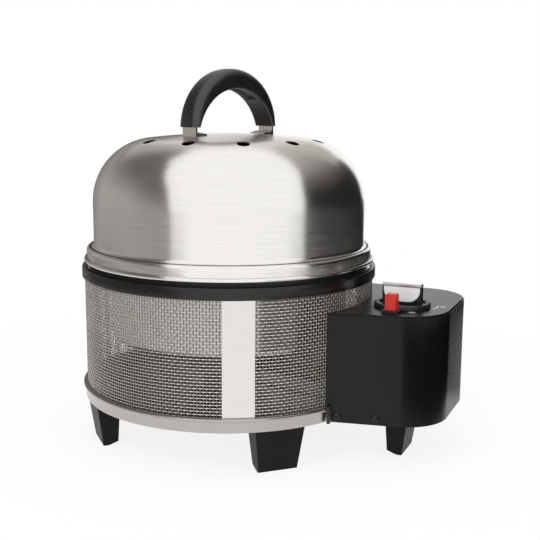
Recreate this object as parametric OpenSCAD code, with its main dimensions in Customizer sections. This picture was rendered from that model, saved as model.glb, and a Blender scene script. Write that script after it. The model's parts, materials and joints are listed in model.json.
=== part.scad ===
// Portable round gas grill with a side gas box.
// Millimetres, +Z up. Pieces are drawn round the body's axis and then moved along X, so that the origin
// lies under the middle of the whole grill, on the surface that the feet stand on.
// +X runs from the body's axis through the side gas box.

/* [Body] */
// Outside diameter of the black rim band
band_d = 320; // [300:1:340]
// Height of the rim band
band_h = 12; // [10:0.5:16]
// Edge rounding of the rim band
band_edge = 1.5; // [0.5:0.1:2]
// Height of the mesh wall that shows between base ring and rim band
mesh_h = 116; // [100:1:130]
// How far the mesh lies inside the band's outer face
mesh_inset = 3; // [2.5:0.1:5]
// Thickness of the woven mesh
mesh_t = 1.5; // [1:0.1:2]
// Depth of the grooves that hold the mesh
groove_depth = 2; // [1:0.5:3]
// Number of openings round the mesh wall, drawn coarse
opening_columns = 20; // [12:1:24]
// Number of rows of openings in the mesh wall
opening_rows = 4; // [3:1:6]
// Share of its pitch that an opening takes each way
opening_share = 0.64; // [0.5:0.01:0.7]
// Height of the steel base ring
ring_h = 15; // [12:0.5:18]
// Thickness of the base ring outside the mesh
ring_wall = 1.8; // [1:0.1:2.5]
// How far the base ring's lip stands out
ring_lip = 2.5; // [1:0.1:4]
// Width of the flange under the base ring
ring_flange_w = 14.8; // [12:0.1:20]
// Thickness of the sheet metal in base ring flange, pan and bowl
sheet_t = 1.2; // [0.8:0.1:2]
// Width of the bare name plate, along the mesh
name_plate_w = 32; // [20:1:60]
// Direction of the name plate's middle, from the box axis
name_plate_angle = -61.7; // [-75:0.1:-50]
// Thickness of the name plate
name_plate_t = 1.1; // [0.6:0.1:2]

/* [Feet] */
// Height of the feet
foot_h = 45; // [35:1:60]
// Width of a foot at its top
foot_top_w = 52; // [44:1:60]
// Width of a foot at its sole
foot_sole_w = 41.4; // [30:0.1:43]
// Radial depth of a foot at its top
foot_depth = 24; // [20:0.5:28]
// Radial depth of a foot at its sole
foot_sole_depth = 16; // [12:0.5:18]
// Flat part of the sole
foot_sole_flat = 6; // [3:0.5:9]
// How far the outer face leans in from top to sole
foot_lean = 6.5; // [2:0.5:10]
// Angle of the sloping part of the sole
foot_sole_angle = 21; // [5:1:30]
// Direction of the first foot, from the box axis
foot_angle = -46; // [-50:0.5:-40]

/* [Bowl and grill plate] */
// Diameter of the bowl's wall
bowl_d = 260; // [230:1:280]
// Depth of the bowl below its flange
bowl_depth = 76; // [60:1:80]
// Diameter of the opening in the middle of the bowl
bowl_eye_d = 116; // [100:1:130]
// Height of the wall round that opening
bowl_eye_h = 42; // [25:1:50]
// Thickness of the grill plate
plate_t = 3; // [2:0.1:4]
// Height of the grill plate's rim, which carries the lid
plate_rim_h = 19.4; // [16:0.1:24]
// Rise of the grill plate's middle
plate_rise = 9; // [4:0.5:12]
// Number of drain holes in the grill plate
drain_count = 24; // [8:1:36]
// Diameter of a drain hole
drain_d = 8; // [4:0.5:12]

/* [Lid] */
// How far the lid's skirt lies inside the band's outer face
lid_skirt_inset = 5.4; // [4.5:0.1:6]
// Step from the skirt in to the dome's wall
lid_step = 7.7; // [6.5:0.1:10]
// How far the rolled bead stands out from the skirt
lid_bead_out = 3; // [2.4:0.1:3.8]
// Height of the rolled bead
lid_bead_h = 4.4; // [3.6:0.1:5]
// Depth of the skirt below the lid's seat
lid_skirt_h = 12.2; // [9:0.1:14]
// Height from the lid's seat to the start of the dome's curve
lid_wall_h = 50.7; // [30:0.1:70]
// Radius of the dome's shoulder
lid_shoulder_r = 68; // [50:1:80]
// Radius of the dome's crown
lid_crown_r = 750; // [600:10:1200]
// Number of vents
vent_count = 11; // [6:1:12]
// Diameter of a vent
vent_d = 13.4; // [8:0.1:16]
// Radius of the circle of vents
vent_circle_r = 97; // [90:0.5:105]
// Direction of the first vent, from the box axis
vent_angle = -89.5; // [-105:0.5:-80]

/* [Handle] */
// Radius of the grip's outer edge
grip_r = 59; // [56:0.5:64]
// Extra height of the grip's crown
grip_crown = 3.5; // [2:0.1:5]
// Width of the grip across the hand
grip_w = 28; // [24:0.5:34]
// Radius of the hand opening
grip_open_r = 55; // [50:0.5:56]
// How far the opening's centre lies below the grip's centre
grip_open_drop = 13.5; // [12:0.5:16]
// Height of the grip's centre above the lid's crown
grip_lift = 5.6; // [4:0.1:12]
// Direction of the handle, from the box axis
handle_angle = 69; // [0:1:90]
// Width of a steel handle bracket
bracket_w = 21; // [16:0.5:23]
// Thickness of a handle bracket
bracket_t = 2; // [1.5:0.1:2.5]
// Length of the bracket's foot
bracket_foot = 15; // [13:0.5:18]
// Angle that the bracket reaches up into the grip
bracket_reach = 36; // [30:1:45]
// Angle of the grip screws
grip_screw_angle = 24; // [20:1:28]

/* [Side box] */
// How far the box reaches past the rim band
box_len = 89.5; // [84:0.5:110]
// Height of the box with its cover
box_h = 112; // [105:1:115]
// Front wall to the box axis, measured at the end wall
box_front = 52.5; // [48:0.5:60]
// Back wall to the box axis, measured at the end wall
box_back = 96; // [88:1:105]
// Angle of the front wall to the box axis
box_front_angle = 10; // [6:0.5:12]
// Angle of the back wall to the box axis
box_back_angle = 2; // [0:0.5:4]
// Radius of the two outer corners
box_corner = 48; // [40:1:50]
// Wall of the box
box_wall = 2; // [1.5:0.1:2.5]
// Thickness of the box cover
cover_t = 3; // [2.5:0.1:4]
// Step round the cover's upper edge
cover_edge = 1.5; // [0.5:0.1:2]
// Distance of the first front screw from the mesh, along the box axis
box_screw_set = -5.8; // [-7:0.1:0]
// Distance between the two front screws
box_screw_pitch = 38; // [30:0.5:45]
// Height of the front screws above the box's lower edge
box_screw_h = 7; // [6:0.5:12]
// Distance of the box foot's outer edge from the mesh
box_foot_set = 48.4; // [42:0.1:56]
// Sideways place of the box foot
box_foot_y = 2.8; // [-5:0.1:5]

/* [Control] */
// Distance of the control's axis from the mesh
control_set = 42; // [40:0.1:44]
// Sideways place of the control's axis
control_y = -8.5; // [-10:0.5:-6]
// Outside diameter of the bezel ring
bezel_d = 57.6; // [54:0.2:60]
// Inside diameter of the bezel ring
bezel_bore = 47; // [46:0.2:50]
// Height of the bezel ring
bezel_h = 4.4; // [4:0.1:7]
// Direction of the bezel's tab, from the box axis
tab_angle = -92; // [-96:1:-88]
// Reach of the tab from the control's axis
tab_reach = 42.5; // [42.5:0.5:46]
// Thickness of the tab
tab_t = 3; // [2.5:0.1:5]
// Width of the tab at its tip
tab_w = 17; // [15:0.5:20]
// Side of the square red button
button_w = 11; // [9:0.1:12]
// Height of the red button above the tab
button_h = 16; // [11:0.1:18]
// Travel of the red button
button_travel = 4; // [2:0.5:5]
// Distance of the button from the control's axis
button_set = 35.5; // [35:0.1:36.5]
// Height of the knob's bar above the cover
knob_h = 24; // [20:0.1:28]
// Length of the knob's bar
knob_l = 40.5; // [36:0.1:44]
// Depth of the knob's two arms, front to back
knob_arm_t = 8.4; // [6:0.1:10]
// Thickness of the bright plates on the knob's front and back
knob_plate_t = 1.2; // [0.8:0.1:2]
// Width of the knob's bar
knob_bar_w = 9; // [6:0.1:11]
// Height of the knob's bar
knob_bar_h = 4; // [3:0.1:6]
// Diameter of the valve spindle
spindle_d = 8; // [6:0.5:10]

/* [Gas and burner] */
// Distance of the cartridge's axis from the mesh
cartridge_set = 39; // [38:0.1:41]
// Diameter of the gas cartridge
cartridge_d = 66; // [60:0.5:68]
// Length of the gas cartridge
cartridge_l = 170; // [150:1:180]
// Height of the cartridge above the box floor
cradle_h = 6; // [4:0.5:8]
// Outside diameter of the gas pipes
pipe_d = 6; // [4:0.5:8]
// Direction of the burner's gas pipe, from the box axis
pipe_angle = -15; // [-17:0.5:-14]
// Diameter of the pipe port in mesh and box
port_d = 20; // [18:0.5:24]
// Diameter of the burner body
burner_d = 92; // [80:1:100]
// Height of the burner body
burner_h = 20; // [20:0.5:24]
// Height of the burner stand
stand_h = 24; // [20:0.5:26]
// Outside diameter of the mixing tube
mix_d = 18; // [16:0.5:19]
// Diameter of the ignition lead
lead_d = 2.4; // [1.5:0.1:3]

/* [Fits] */
// Gap between loose curved faces
loose_gap = 0.3; // [0.2:0.05:0.5]
// Gap in screw holes
screw_gap = 0.1; // [0.05:0.05:0.2]
// Running clearance of the spindle
run_gap = 0.05; // [0.02:0.01:0.1]
// Diameter of the foot and bracket screws
screw_d = 4; // [3:0.5:4.5]

/* [Hidden] */
$fn = 96;
eps = 0.01;
// Radii, from the band inward
band_r = band_d / 2;
mesh_out = band_r - mesh_inset;
mesh_in = mesh_out - mesh_t;
groove_gap = 0.15;
groove_wall = 2;
ring_in = mesh_in - groove_wall;
ring_r = mesh_out + ring_wall;
ring_lip_r = ring_r + ring_lip;
ring_flange_r = ring_r - ring_flange_w;
pan_r = ring_in - loose_gap;
seat_gap = 0.5;
seat_r = mesh_in - seat_gap;
ledge_w = 4;
ledge_r = seat_r - ledge_w;
flange_r = seat_r - seat_gap;
plate_inset = 4;
plate_r = flange_r - plate_inset;
plate_rim_t = 2.5;
bowl_r = bowl_d / 2;
bowl_foot_r = 10;
eye_r = bowl_eye_d / 2;
eye_lean = 12;
lid_skirt_r = band_r - lid_skirt_inset;
lid_r = lid_skirt_r - lid_step;
lid_t = sheet_t;
// Heights, from the ground up
ring_z = foot_h;
pan_z = ring_z + sheet_t;
pan_top = pan_z + sheet_t;
mesh_z = ring_z + ring_h;
band_z = mesh_z + mesh_h;
band_top = band_z + band_h;
seat_depth = 4;
ledge_z = band_top - seat_depth;
flange_top = ledge_z + sheet_t;
bowl_z = ledge_z - bowl_depth;
plate_rim_top = flange_top + plate_rim_h;
lid_bottom = plate_rim_top - lid_skirt_h;
lid_arch_z = plate_rim_top + lid_wall_h;
shoulder_c = [lid_r - lid_shoulder_r, lid_arch_z];
crown_z = lid_arch_z - sqrt(pow(lid_crown_r - lid_shoulder_r, 2) - pow(shoulder_c[0], 2));
crown_angle = atan2(lid_arch_z - crown_z, shoulder_c[0]);
lid_top = crown_z + lid_crown_r;
grip_z = lid_top + grip_lift;
// Handle
slot_gap = 0.25;
strap_gap = 0.5;
strap_r = grip_open_r + strap_gap;
strap_out = strap_r + bracket_t;
rivet_r = 2.4;
rivet_inset = 5.5;
rivet_x = strap_out - bracket_foot + rivet_inset;
rivet_y = bracket_w / 2 - rivet_inset + 0.5;
grip_foot_z = grip_z + 1.5;
screw_seat = -grip_open_drop * sin(grip_screw_angle)
    + sqrt(pow(grip_open_r, 2) - pow(grip_open_drop * cos(grip_screw_angle), 2));
screw_sink = 3;
foot_sheet = 0.6;
// Feet
foot_inset = 3.8;
foot_top_r = ring_r - foot_inset;
foot_sole_r = foot_top_r - foot_lean;
foot_screw_inset = 6.5;
foot_screw_r = foot_top_r - foot_screw_inset;
foot_screw_l = 14;
foot_screw_head = 2.2;
foot_angles = [for (i = [0:3]) foot_angle - 90 * i];
screw_r = screw_d / 2;
screw_bore = screw_r + screw_gap;
// Side box
box_z = ring_z;
box_top = box_z + box_h;
box_end = band_r + box_len;
tub_top = box_top - cover_t;
floor_top = box_z + box_wall;
box_low_r = ring_lip_r + loose_gap;
box_high_r = mesh_out + loose_gap;
box_step = mesh_z + loose_gap;
front_dir = [cos(box_front_angle), sin(box_front_angle)];
back_dir = [cos(box_back_angle), -sin(box_back_angle)];
front_out = [front_dir[1], -front_dir[0]];
back_out = [-back_dir[1], back_dir[0]];
front_c = [box_end - box_corner, -box_front + box_corner * (1 - front_dir[1]) / front_dir[0]];
back_c = [box_end - box_corner, box_back - box_corner * (1 + back_dir[1]) / back_dir[0]];
box_root = mesh_out / 2;
box_screw_r = 1.9;
box_screw_head = 2.3;
bracket_plate_t = 2;
bracket_plate_w = 44;
bracket_plate_out = 26;
bracket_ring_in = 3.5;
bracket_tub_out = 17;
bracket_half = 12;
box_foot_x = mesh_out + box_foot_set;
middle_x = (box_end - ring_lip_r) / 2;
// Control
control_x = mesh_out + control_set;
bezel_r = bezel_d / 2;
knob_r = bezel_bore / 2 - loose_gap;
knob_z = box_top + loose_gap;
knob_disc_t = 2;
knob_arm_w = 1.2;
knob_plate_set = 0.4;
knob_fit = 0.1;
knob_fillet = 12.5;
knob_sill = 3;
knob_arm_top = box_top + knob_h - knob_bar_h;
knob_rivet_r = 1.2;
knob_rivet_in = 4.6;
spindle_r = spindle_d / 2;
valve_top = tub_top - 8;
valve_h = 22;
valve_r = 12;
valve_flange_r = 20;
valve_flange_t = 2;
pillar_r = 3;
piezo_r = 8;
piezo_flange_t = 4;
piezo_l = 42;
stem_r = 4;
button_foot = box_top + button_travel - cover_t + loose_gap;
button_at = [control_x + button_set * cos(tab_angle), control_y + button_set * sin(tab_angle)];
// Gas
cartridge_r = cartridge_d / 2;
cartridge_x = mesh_out + cartridge_set;
cartridge_z = floor_top + cradle_h + cartridge_r;
cartridge_y = control_y - 25;
nozzle_r = 4;
nozzle_l = 8;
collar_r = 16;
collar_t = 4;
coupling_y = cartridge_y - collar_t - loose_gap;
coupling_l = 14;
coupling_w = 26;
coupling_top = cartridge_z + 18;
pipe_r = pipe_d / 2;
bend_swell = 0.1;
port_r = port_d / 2;
burner_r = burner_d / 2;
burner_z = pan_top + stand_h;
pipe_z = burner_z + burner_h / 2;
mix_r = mix_d / 2;
mix_wall = 1.5;
mix_end = bowl_r - 12;
jet_l = 12;
pipe_room = 18.7;
pipe_drop_r = box_high_r + box_wall + pipe_room;
feed_reach = 20;
feed_inset = 5.5;
outlet_z = valve_top - 14;
lead_z = pipe_z - 4;
lead_top = coupling_top + 4;
electrode_angle = pipe_angle - 30;
electrode_r = burner_r + 7;

steel = [0.78, 0.78, 0.77];
dark_steel = [0.45, 0.45, 0.45];
black = [0.12, 0.12, 0.12];
soft_black = [0.18, 0.18, 0.19];
red = [0.85, 0.18, 0.17];
brass = [0.75, 0.6, 0.3];

// Points on an arc round c
function arc(c, r, a0, a1, n) =
    [for (i = [0:n]) let (a = a0 + (a1 - a0) * i / n) [c[0] + r * cos(a), c[1] + r * sin(a)]];
// Distance along a wall from its end point to where it meets a circle round the body's axis
function wall_run(p, d, r) = let (k = p * d) k - sqrt(k * k - p * p + r * r);
// Direction of the place where a wall of the box meets the base ring
function wall_angle(p, d) =
    let (q = p - d * wall_run(p, d, box_low_r)) atan2(q[1], q[0]);
// Y of the front wall's outer face at x
function front_y(x) = -box_front - (box_end - x) * tan(box_front_angle);

// Turns a shape drawn along +Z so that it lies along a direction out from the axis, at height z
module outward(angle, z) {
    rotate([0, 0, angle])
        translate([0, 0, z])
            rotate([0, 90, 0])
                children();
}

// Ring of a given section that fills an angle
module sector(start, angle) {
    rotate([0, 0, start])
        rotate_extrude(angle = angle)
            children();
}

// Round-headed screw with a hexagon socket, head above z = 0
module round_screw(head_r, head_h, shank_r, shank_l) {
    socket_r = head_r * 0.35;
    difference() {
        rotate_extrude()
            polygon(concat(
                [[0, -shank_l], [shank_r, -shank_l], [shank_r, 0], [head_r, 0]],
                [for (i = [1:6]) [head_r * cos(15 * i), head_h * sin(15 * i)]]));
        translate([0, 0, head_h * 0.4])
            cylinder(r = socket_r, h = head_h, $fn = 6);
    }
}

// Bent round pipe through a list of points
module bent_pipe(points, r) {
    for (i = [0:len(points) - 2]) {
        run = points[i + 1] - points[i];
        l = norm(run);
        translate(points[i])
            rotate([0, acos(run[2] / l), atan2(run[1], run[0])])
                cylinder(r = r, h = l);
    }
    for (i = [1:1:len(points) - 2])
        translate(points[i])
            sphere(r = r + bend_swell, $fn = 32);
}

// Steel ring that carries the mesh, with a flange below and a lip above
module base_ring() {
    color(steel)
        difference() {
            rotate_extrude()
                polygon([
                    [ring_flange_r, ring_z],
                    [ring_r, ring_z],
                    [ring_r + 0.4, mesh_z - 4],
                    [ring_lip_r, mesh_z - 2.6],
                    [ring_lip_r, mesh_z],
                    [mesh_out + groove_gap, mesh_z],
                    [mesh_out + groove_gap, mesh_z - groove_depth],
                    [ring_in, mesh_z - groove_depth],
                    [ring_in, pan_z],
                    [ring_flange_r, pan_z]]);
            for (a = foot_angles)
                rotate([0, 0, a])
                    translate([foot_screw_r, 0, ring_z - 1])
                        cylinder(r = screw_bore, h = sheet_t + 2);
            bracket_places(true, false)
                translate([0, 0, ring_z - 1])
                    cylinder(r = screw_bore, h = 8);
        }
}

// Floor of the body
module base_pan() {
    color(dark_steel)
        difference() {
            translate([0, 0, pan_z])
                cylinder(r = pan_r, h = sheet_t);
            for (a = foot_angles)
                rotate([0, 0, a])
                    translate([foot_screw_r, 0, pan_z - 1])
                        cylinder(r = screw_bore, h = sheet_t + 2);
        }
}

// Tapered foot; its sole's outer edge lies at x = 0
module foot_solid() {
    sole_rise = (foot_sole_depth - foot_sole_flat) * tan(foot_sole_angle);
    difference() {
        intersection() {
            rotate([90, 0, 0])
                linear_extrude(height = foot_top_w, center = true)
                    polygon([
                        [0, 0],
                        [foot_lean, foot_h],
                        [foot_lean - foot_depth, foot_h],
                        [-foot_sole_depth, sole_rise],
                        [-foot_sole_flat, 0]]);
            translate([-foot_depth, 0, 0])
                rotate([90, 0, 90])
                    linear_extrude(height = 2 * foot_depth)
                        polygon([
                            [-foot_sole_w / 2, 0],
                            [foot_sole_w / 2, 0],
                            [foot_top_w / 2, foot_h],
                            [-foot_top_w / 2, foot_h]]);
        }
        translate([foot_screw_r - foot_sole_r, 0, foot_h - foot_screw_l])
            cylinder(r = screw_bore, h = foot_screw_l + 1);
    }
}

module body_foot(i) {
    color(soft_black)
        rotate([0, 0, foot_angles[i]])
            translate([foot_sole_r, 0, 0])
                foot_solid();
}

module foot_screws() {
    color(dark_steel)
        for (a = foot_angles)
            rotate([0, 0, a])
                translate([foot_screw_r, 0, pan_top])
                    round_screw(screw_r * 1.9, foot_screw_head, screw_r, foot_screw_l);
}

// Port for the gas pipe and the ignition lead
module pipe_port(r0, r1) {
    outward(pipe_angle, pipe_z)
        translate([0, 0, r0])
            cylinder(r = port_r, h = r1 - r0);
}

// Space of the woven wall, standing in the grooves of ring and band
module mesh_wall() {
    color([0.62, 0.61, 0.59])
        difference() {
            translate([0, 0, mesh_z - groove_depth])
                difference() {
                    cylinder(r = mesh_out, h = mesh_h + 2 * groove_depth);
                    translate([0, 0, -1])
                        cylinder(r = mesh_in, h = mesh_h + 2 * groove_depth + 2);
                }
            pipe_port(mesh_in - 6, mesh_out + 6);
            wall_openings();
        }
}

// Coarse openings that stand for the fine weave; the pipe port takes the place of one
module wall_openings() {
    open_w = 2 * mesh_out * sin(180 / opening_columns) * opening_share;
    row_h = mesh_h / opening_rows;
    open_h = row_h * opening_share;
    for (i = [0:opening_columns - 1])
        for (j = [0:opening_rows - 1])
            if (i > 0 || j > 0)
                rotate([0, 0, pipe_angle + 360 / opening_columns * i])
                    translate([mesh_in - 3, -open_w / 2, mesh_z + row_h * (j + 0.5) - open_h / 2])
                        cube([mesh_t + 6, open_w, open_h]);
}

// Bare strap on the front of the mesh
module name_plate() {
    span = 2 * asin(name_plate_w / 2 / mesh_out);
    color(steel)
        sector(name_plate_angle - span / 2, span)
            translate([mesh_out + run_gap, mesh_z])
                square([name_plate_t, mesh_h]);
}

// Black band; its inner ledge carries the bowl
module rim_band() {
    e = band_edge;
    color(black)
        rotate_extrude()
            polygon(concat(
                [[ledge_r, band_z],
                [mesh_in - groove_gap, band_z],
                [mesh_in - groove_gap, band_z + groove_depth],
                [mesh_out + groove_gap, band_z + groove_depth],
                [mesh_out + groove_gap, band_z]],
                arc([band_r - e, band_z + e], e, -90, 0, 4),
                arc([band_r - e, band_top - e], e, 0, 90, 4),
                [[seat_r, band_top],
                [seat_r, ledge_z],
                [ledge_r, ledge_z]]));
}

// Bent strap that carries the burner
module burner_stand() {
    top_l = 60;
    strap_w = 24;
    strap_t = 2;
    toe = 14;
    color(dark_steel)
        rotate([0, 0, pipe_angle + 90])
            rotate([90, 0, 0])
                translate([0, 0, -strap_w / 2])
                    linear_extrude(height = strap_w)
                        for (s = [-1, 1]) {
                            translate([-top_l / 2, burner_z - strap_t])
                                square([top_l, strap_t]);
                            translate([s * top_l / 2 - (s > 0 ? strap_t : 0), pan_top])
                                square([strap_t, stand_h]);
                            translate([s > 0 ? top_l / 2 - strap_t : -top_l / 2 - toe + strap_t, pan_top])
                                square([toe, strap_t]);
                        }
}

// Round burner pan with a side inlet
module burner_body() {
    wall = 2;
    color(dark_steel)
        difference() {
            translate([0, 0, burner_z])
                cylinder(r = burner_r, h = burner_h);
            translate([0, 0, burner_z + wall])
                cylinder(r = burner_r - wall, h = burner_h);
            outward(pipe_angle, pipe_z)
                translate([0, 0, burner_r / 2])
                    cylinder(r = mix_r + loose_gap, h = burner_r);
        }
}

// Burner cap with slanted flame ports
module burner_cap() {
    cap_h = 8;
    ports = 36;
    color([0.3, 0.3, 0.3])
        difference() {
            translate([0, 0, burner_z + burner_h])
                rotate_extrude()
                    polygon([
                        [0, 0],
                        [burner_r + 1, 0],
                        [burner_r + 1, 3],
                        [burner_r - 6, cap_h],
                        [0, cap_h - 2]]);
            for (i = [0:ports - 1])
                rotate([0, 0, 360 / ports * i])
                    translate([burner_r - 4.5, 0, burner_z + burner_h - 1])
                        cylinder(r = 1.2, h = cap_h + 2);
        }
}

// Tube that mixes gas and air
module mixing_tube() {
    start = burner_r - 8;
    color(dark_steel)
        difference() {
            outward(pipe_angle, pipe_z)
                translate([0, 0, start])
                    difference() {
                        cylinder(r = mix_r, h = mix_end - start);
                        translate([0, 0, -1])
                            cylinder(r = mix_r - mix_wall, h = mix_end - start + 2);
                    }
            rotate([0, 0, pipe_angle])
                translate([mix_end - 12, 0, pipe_z - mix_r - 1])
                    cylinder(r = 4, h = 2 * mix_r + 2);
        }
}

// Jet that closes the mixing tube's outer end
module jet_holder() {
    flange_t = 2;
    color(brass)
        outward(pipe_angle, pipe_z)
            translate([0, 0, mix_end]) {
                cylinder(r = mix_r, h = flange_t);
                cylinder(r = pipe_r + 2, h = jet_l, $fn = 6);
                translate([0, 0, -5])
                    cylinder(r = 3, h = 6);
            }
}

// Pipe from the valve to the jet
module gas_pipe() {
    drop = [pipe_drop_r * cos(pipe_angle), pipe_drop_r * sin(pipe_angle)];
    jet = [(mix_end + jet_l) * cos(pipe_angle), (mix_end + jet_l) * sin(pipe_angle), pipe_z];
    color(brass)
        bent_pipe([
            [control_x - valve_r + 1, control_y, outlet_z],
            [drop[0], control_y, outlet_z],
            [drop[0], drop[1], outlet_z],
            [drop[0], drop[1], pipe_z],
            jet], pipe_r);
}

// Spark electrode on a small arm at the burner's side
module electrode() {
    ceramic_r = 3;
    ceramic_h = 20;
    pin_r = 0.9;
    pin_h = 34;
    arm_t = 2;
    color([0.9, 0.9, 0.86])
        difference() {
            rotate([0, 0, electrode_angle]) {
                translate([electrode_r, 0, burner_z]) {
                    cylinder(r = ceramic_r, h = ceramic_h);
                    cylinder(r = pin_r, h = pin_h);
                }
                translate([burner_r - 3, -4, burner_z + 6])
                    cube([electrode_r - burner_r + 3, 8, arm_t]);
            }
            translate([0, 0, burner_z - 1])
                cylinder(r = burner_r + 0.05, h = burner_h + 2);
        }
}

// Lead from the igniter through the pipe port to the electrode, drawn along the gas pipe's direction
module ignition_lead() {
    side = -6;
    drop_x = pipe_drop_r + 6;
    turn_x = mesh_in - 10;
    low_z = burner_z - 5;
    start = [
        button_at[0] * cos(pipe_angle) + button_at[1] * sin(pipe_angle),
        button_at[1] * cos(pipe_angle) - button_at[0] * sin(pipe_angle)];
    end = electrode_r * [cos(electrode_angle - pipe_angle), sin(electrode_angle - pipe_angle)];
    color(soft_black)
        rotate([0, 0, pipe_angle])
            bent_pipe([
                [start[0], start[1], tub_top - piezo_l],
                [start[0], start[1], lead_top],
                [drop_x, start[1], lead_top],
                [drop_x, side, lead_top],
                [drop_x, side, lead_z],
                [turn_x, side, lead_z],
                [turn_x, side, low_z],
                [turn_x, end[1], low_z],
                [end[0], end[1], low_z],
                [end[0], end[1], burner_z]], lead_d / 2);
}

// Outline of the side box from above, moved in by d; arcs at the two outer corners
module box_plan(d) {
    r = box_corner - d;
    side = r - 0.02;
    front_t = front_c + side * front_out;
    back_t = back_c + side * back_out;
    translate(front_c)
        circle(r = r);
    translate(back_c)
        circle(r = r);
    polygon([
        [box_root, front_t[1] - (front_t[0] - box_root) * front_dir[1] / front_dir[0]],
        front_t,
        front_c + [side, 0],
        back_c + [side, 0],
        back_t,
        [box_root, back_t[1] - (back_t[0] - box_root) * back_dir[1] / back_dir[0]]]);
}

// Slice of the box between two heights, moved in by d, with the body's round space of radius r left out
module box_slice(d, r, low, high) {
    translate([0, 0, low])
        linear_extrude(height = high - low)
            difference() {
                box_plan(d);
                circle(r = r);
            }
}

// Places of the two front screws, with +Z out of the wall
module front_screw_places() {
    for (i = [0:1]) {
        x = mesh_out + box_screw_set + i * box_screw_pitch;
        translate([x, front_y(x), box_z + box_screw_h])
            rotate([90, 0, box_front_angle])
                children();
    }
}

// Places of the bracket screws, under the ring and under the box floor
module bracket_places(ring, tub) {
    for (s = [-1, 1]) {
        if (ring)
            translate([ring_r - bracket_ring_in, s * bracket_half, 0])
                children();
        if (tub)
            translate([mesh_out + bracket_tub_out, s * bracket_half, 0])
                children();
    }
}

// Axis of the gas cartridge, with +Z from its valve end to its base
module cartridge_place() {
    translate([cartridge_x, cartridge_y, cartridge_z])
        rotate([-90, 0, 0])
            children();
}

// Box below the cover; the cartridge goes in through a twelve-sided hole in its back
module gas_box() {
    color(black)
        difference() {
            union() {
                box_slice(0, box_low_r, box_z, box_step);
                box_slice(0, box_high_r, box_step, tub_top);
            }
            box_slice(box_wall, box_low_r + box_wall, floor_top, box_step + box_wall);
            box_slice(box_wall, box_high_r + box_wall, box_step + box_wall, tub_top + 1);
            pipe_port(mesh_out - 6, pipe_drop_r);
            cartridge_place()
                translate([0, 0, cartridge_l / 2])
                    cylinder(r = (cartridge_r + 1) / cos(15), h = cartridge_l / 2, $fn = 12);
            front_screw_places()
                translate([0, 0, -box_wall - 2])
                    cylinder(r = box_screw_r + screw_gap, h = box_wall + 3);
            bracket_places(false, true)
                translate([0, 0, box_z - 1])
                    cylinder(r = screw_bore, h = box_wall + 2);
            translate([box_foot_x + foot_screw_r - foot_sole_r, box_foot_y, box_z - 1])
                cylinder(r = screw_bore, h = box_wall + 2);
        }
}

// Cover with a stepped upper edge
module gas_box_cover() {
    slot = button_w + 2 * loose_gap;
    color(black)
        difference() {
            union() {
                box_slice(0, box_high_r, tub_top, box_top - cover_edge);
                box_slice(cover_edge, box_high_r, box_top - cover_edge, box_top);
            }
            translate([control_x, control_y, tub_top - 1])
                cylinder(r = spindle_r + loose_gap, h = cover_t + 2);
            button_place()
                translate([-slot / 2, -slot / 2, tub_top - 1])
                    cube([slot, slot, cover_t + 2]);
        }
}

module box_foot() {
    color(soft_black)
        translate([box_foot_x, box_foot_y, 0])
            foot_solid();
}

module box_foot_screws() {
    color(dark_steel)
        translate([box_foot_x + foot_screw_r - foot_sole_r, box_foot_y, floor_top])
            round_screw(screw_r * 1.9, foot_screw_head, screw_r, foot_screw_l);
}

module box_screws() {
    color(dark_steel)
        front_screw_places()
            round_screw(box_screw_r * 2.2, box_screw_head, box_screw_r, box_wall + 1.5);
}

// Plate under ring and box floor that holds the box to the body
module box_bracket() {
    color(dark_steel)
        difference() {
            translate([ring_flange_r, -bracket_plate_w / 2, ring_z - bracket_plate_t])
                cube([mesh_out + bracket_plate_out - ring_flange_r, bracket_plate_w, bracket_plate_t]);
            bracket_places(true, true)
                translate([0, 0, ring_z - bracket_plate_t - 1])
                    cylinder(r = screw_bore, h = bracket_plate_t + 2);
        }
}

module bracket_screws() {
    color(dark_steel)
        bracket_places(true, true)
            translate([0, 0, ring_z - bracket_plate_t])
                mirror([0, 0, 1])
                    round_screw(screw_r * 1.8, 2, screw_r, 7);
}

// Black clips on the base ring at the two walls of the box
module ring_clips() {
    clip_angle = 1.5;
    clip_gap = 0.5;
    hook_r = ring_lip_r - 1;
    clip_t = 1.8;
    edge = ring_lip_r + 0.1;
    starts = [
        wall_angle([box_end, -box_front], front_dir) - clip_angle - clip_gap,
        wall_angle([box_end, box_back], back_dir) + clip_gap];
    color(soft_black)
        for (a = starts)
            sector(a, clip_angle)
                polygon([
                    [edge, ring_z - 1],
                    [edge + clip_t, ring_z - 1],
                    [edge + clip_t, mesh_z + clip_t],
                    [hook_r, mesh_z + clip_t],
                    [hook_r, mesh_z],
                    [edge, mesh_z]]);
}

module control_place() {
    translate([control_x, control_y, 0])
        children();
}

// Axis of the red button, with +X along the tab
module button_place() {
    control_place()
        rotate([0, 0, tab_angle])
            translate([button_set, 0, 0])
                children();
}

// Ring round the knob with a tab for the red button
module bezel_ring() {
    slot = button_w + 2 * loose_gap;
    e = 1.8;
    inner = bezel_bore / 2;
    color(soft_black)
        difference() {
            control_place() {
                translate([0, 0, box_top])
                    rotate_extrude()
                        polygon(concat(
                            [[inner, 0], [bezel_r, 0]],
                            arc([bezel_r - e, bezel_h - e], e, 0, 90, 4),
                            arc([inner + e / 2, bezel_h - e / 2], e / 2, 90, 180, 3)));
                translate([0, 0, box_top])
                    rotate([0, 0, tab_angle])
                        linear_extrude(height = tab_t)
                            difference() {
                                translate([inner - 2, -tab_w / 2])
                                    square([tab_reach - inner + 2, tab_w]);
                                circle(r = inner + 1);
                            }
            }
            button_place()
                translate([-slot / 2, -slot / 2, box_top - 1])
                    cube([slot, slot, tab_t + 2]);
        }
}

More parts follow.
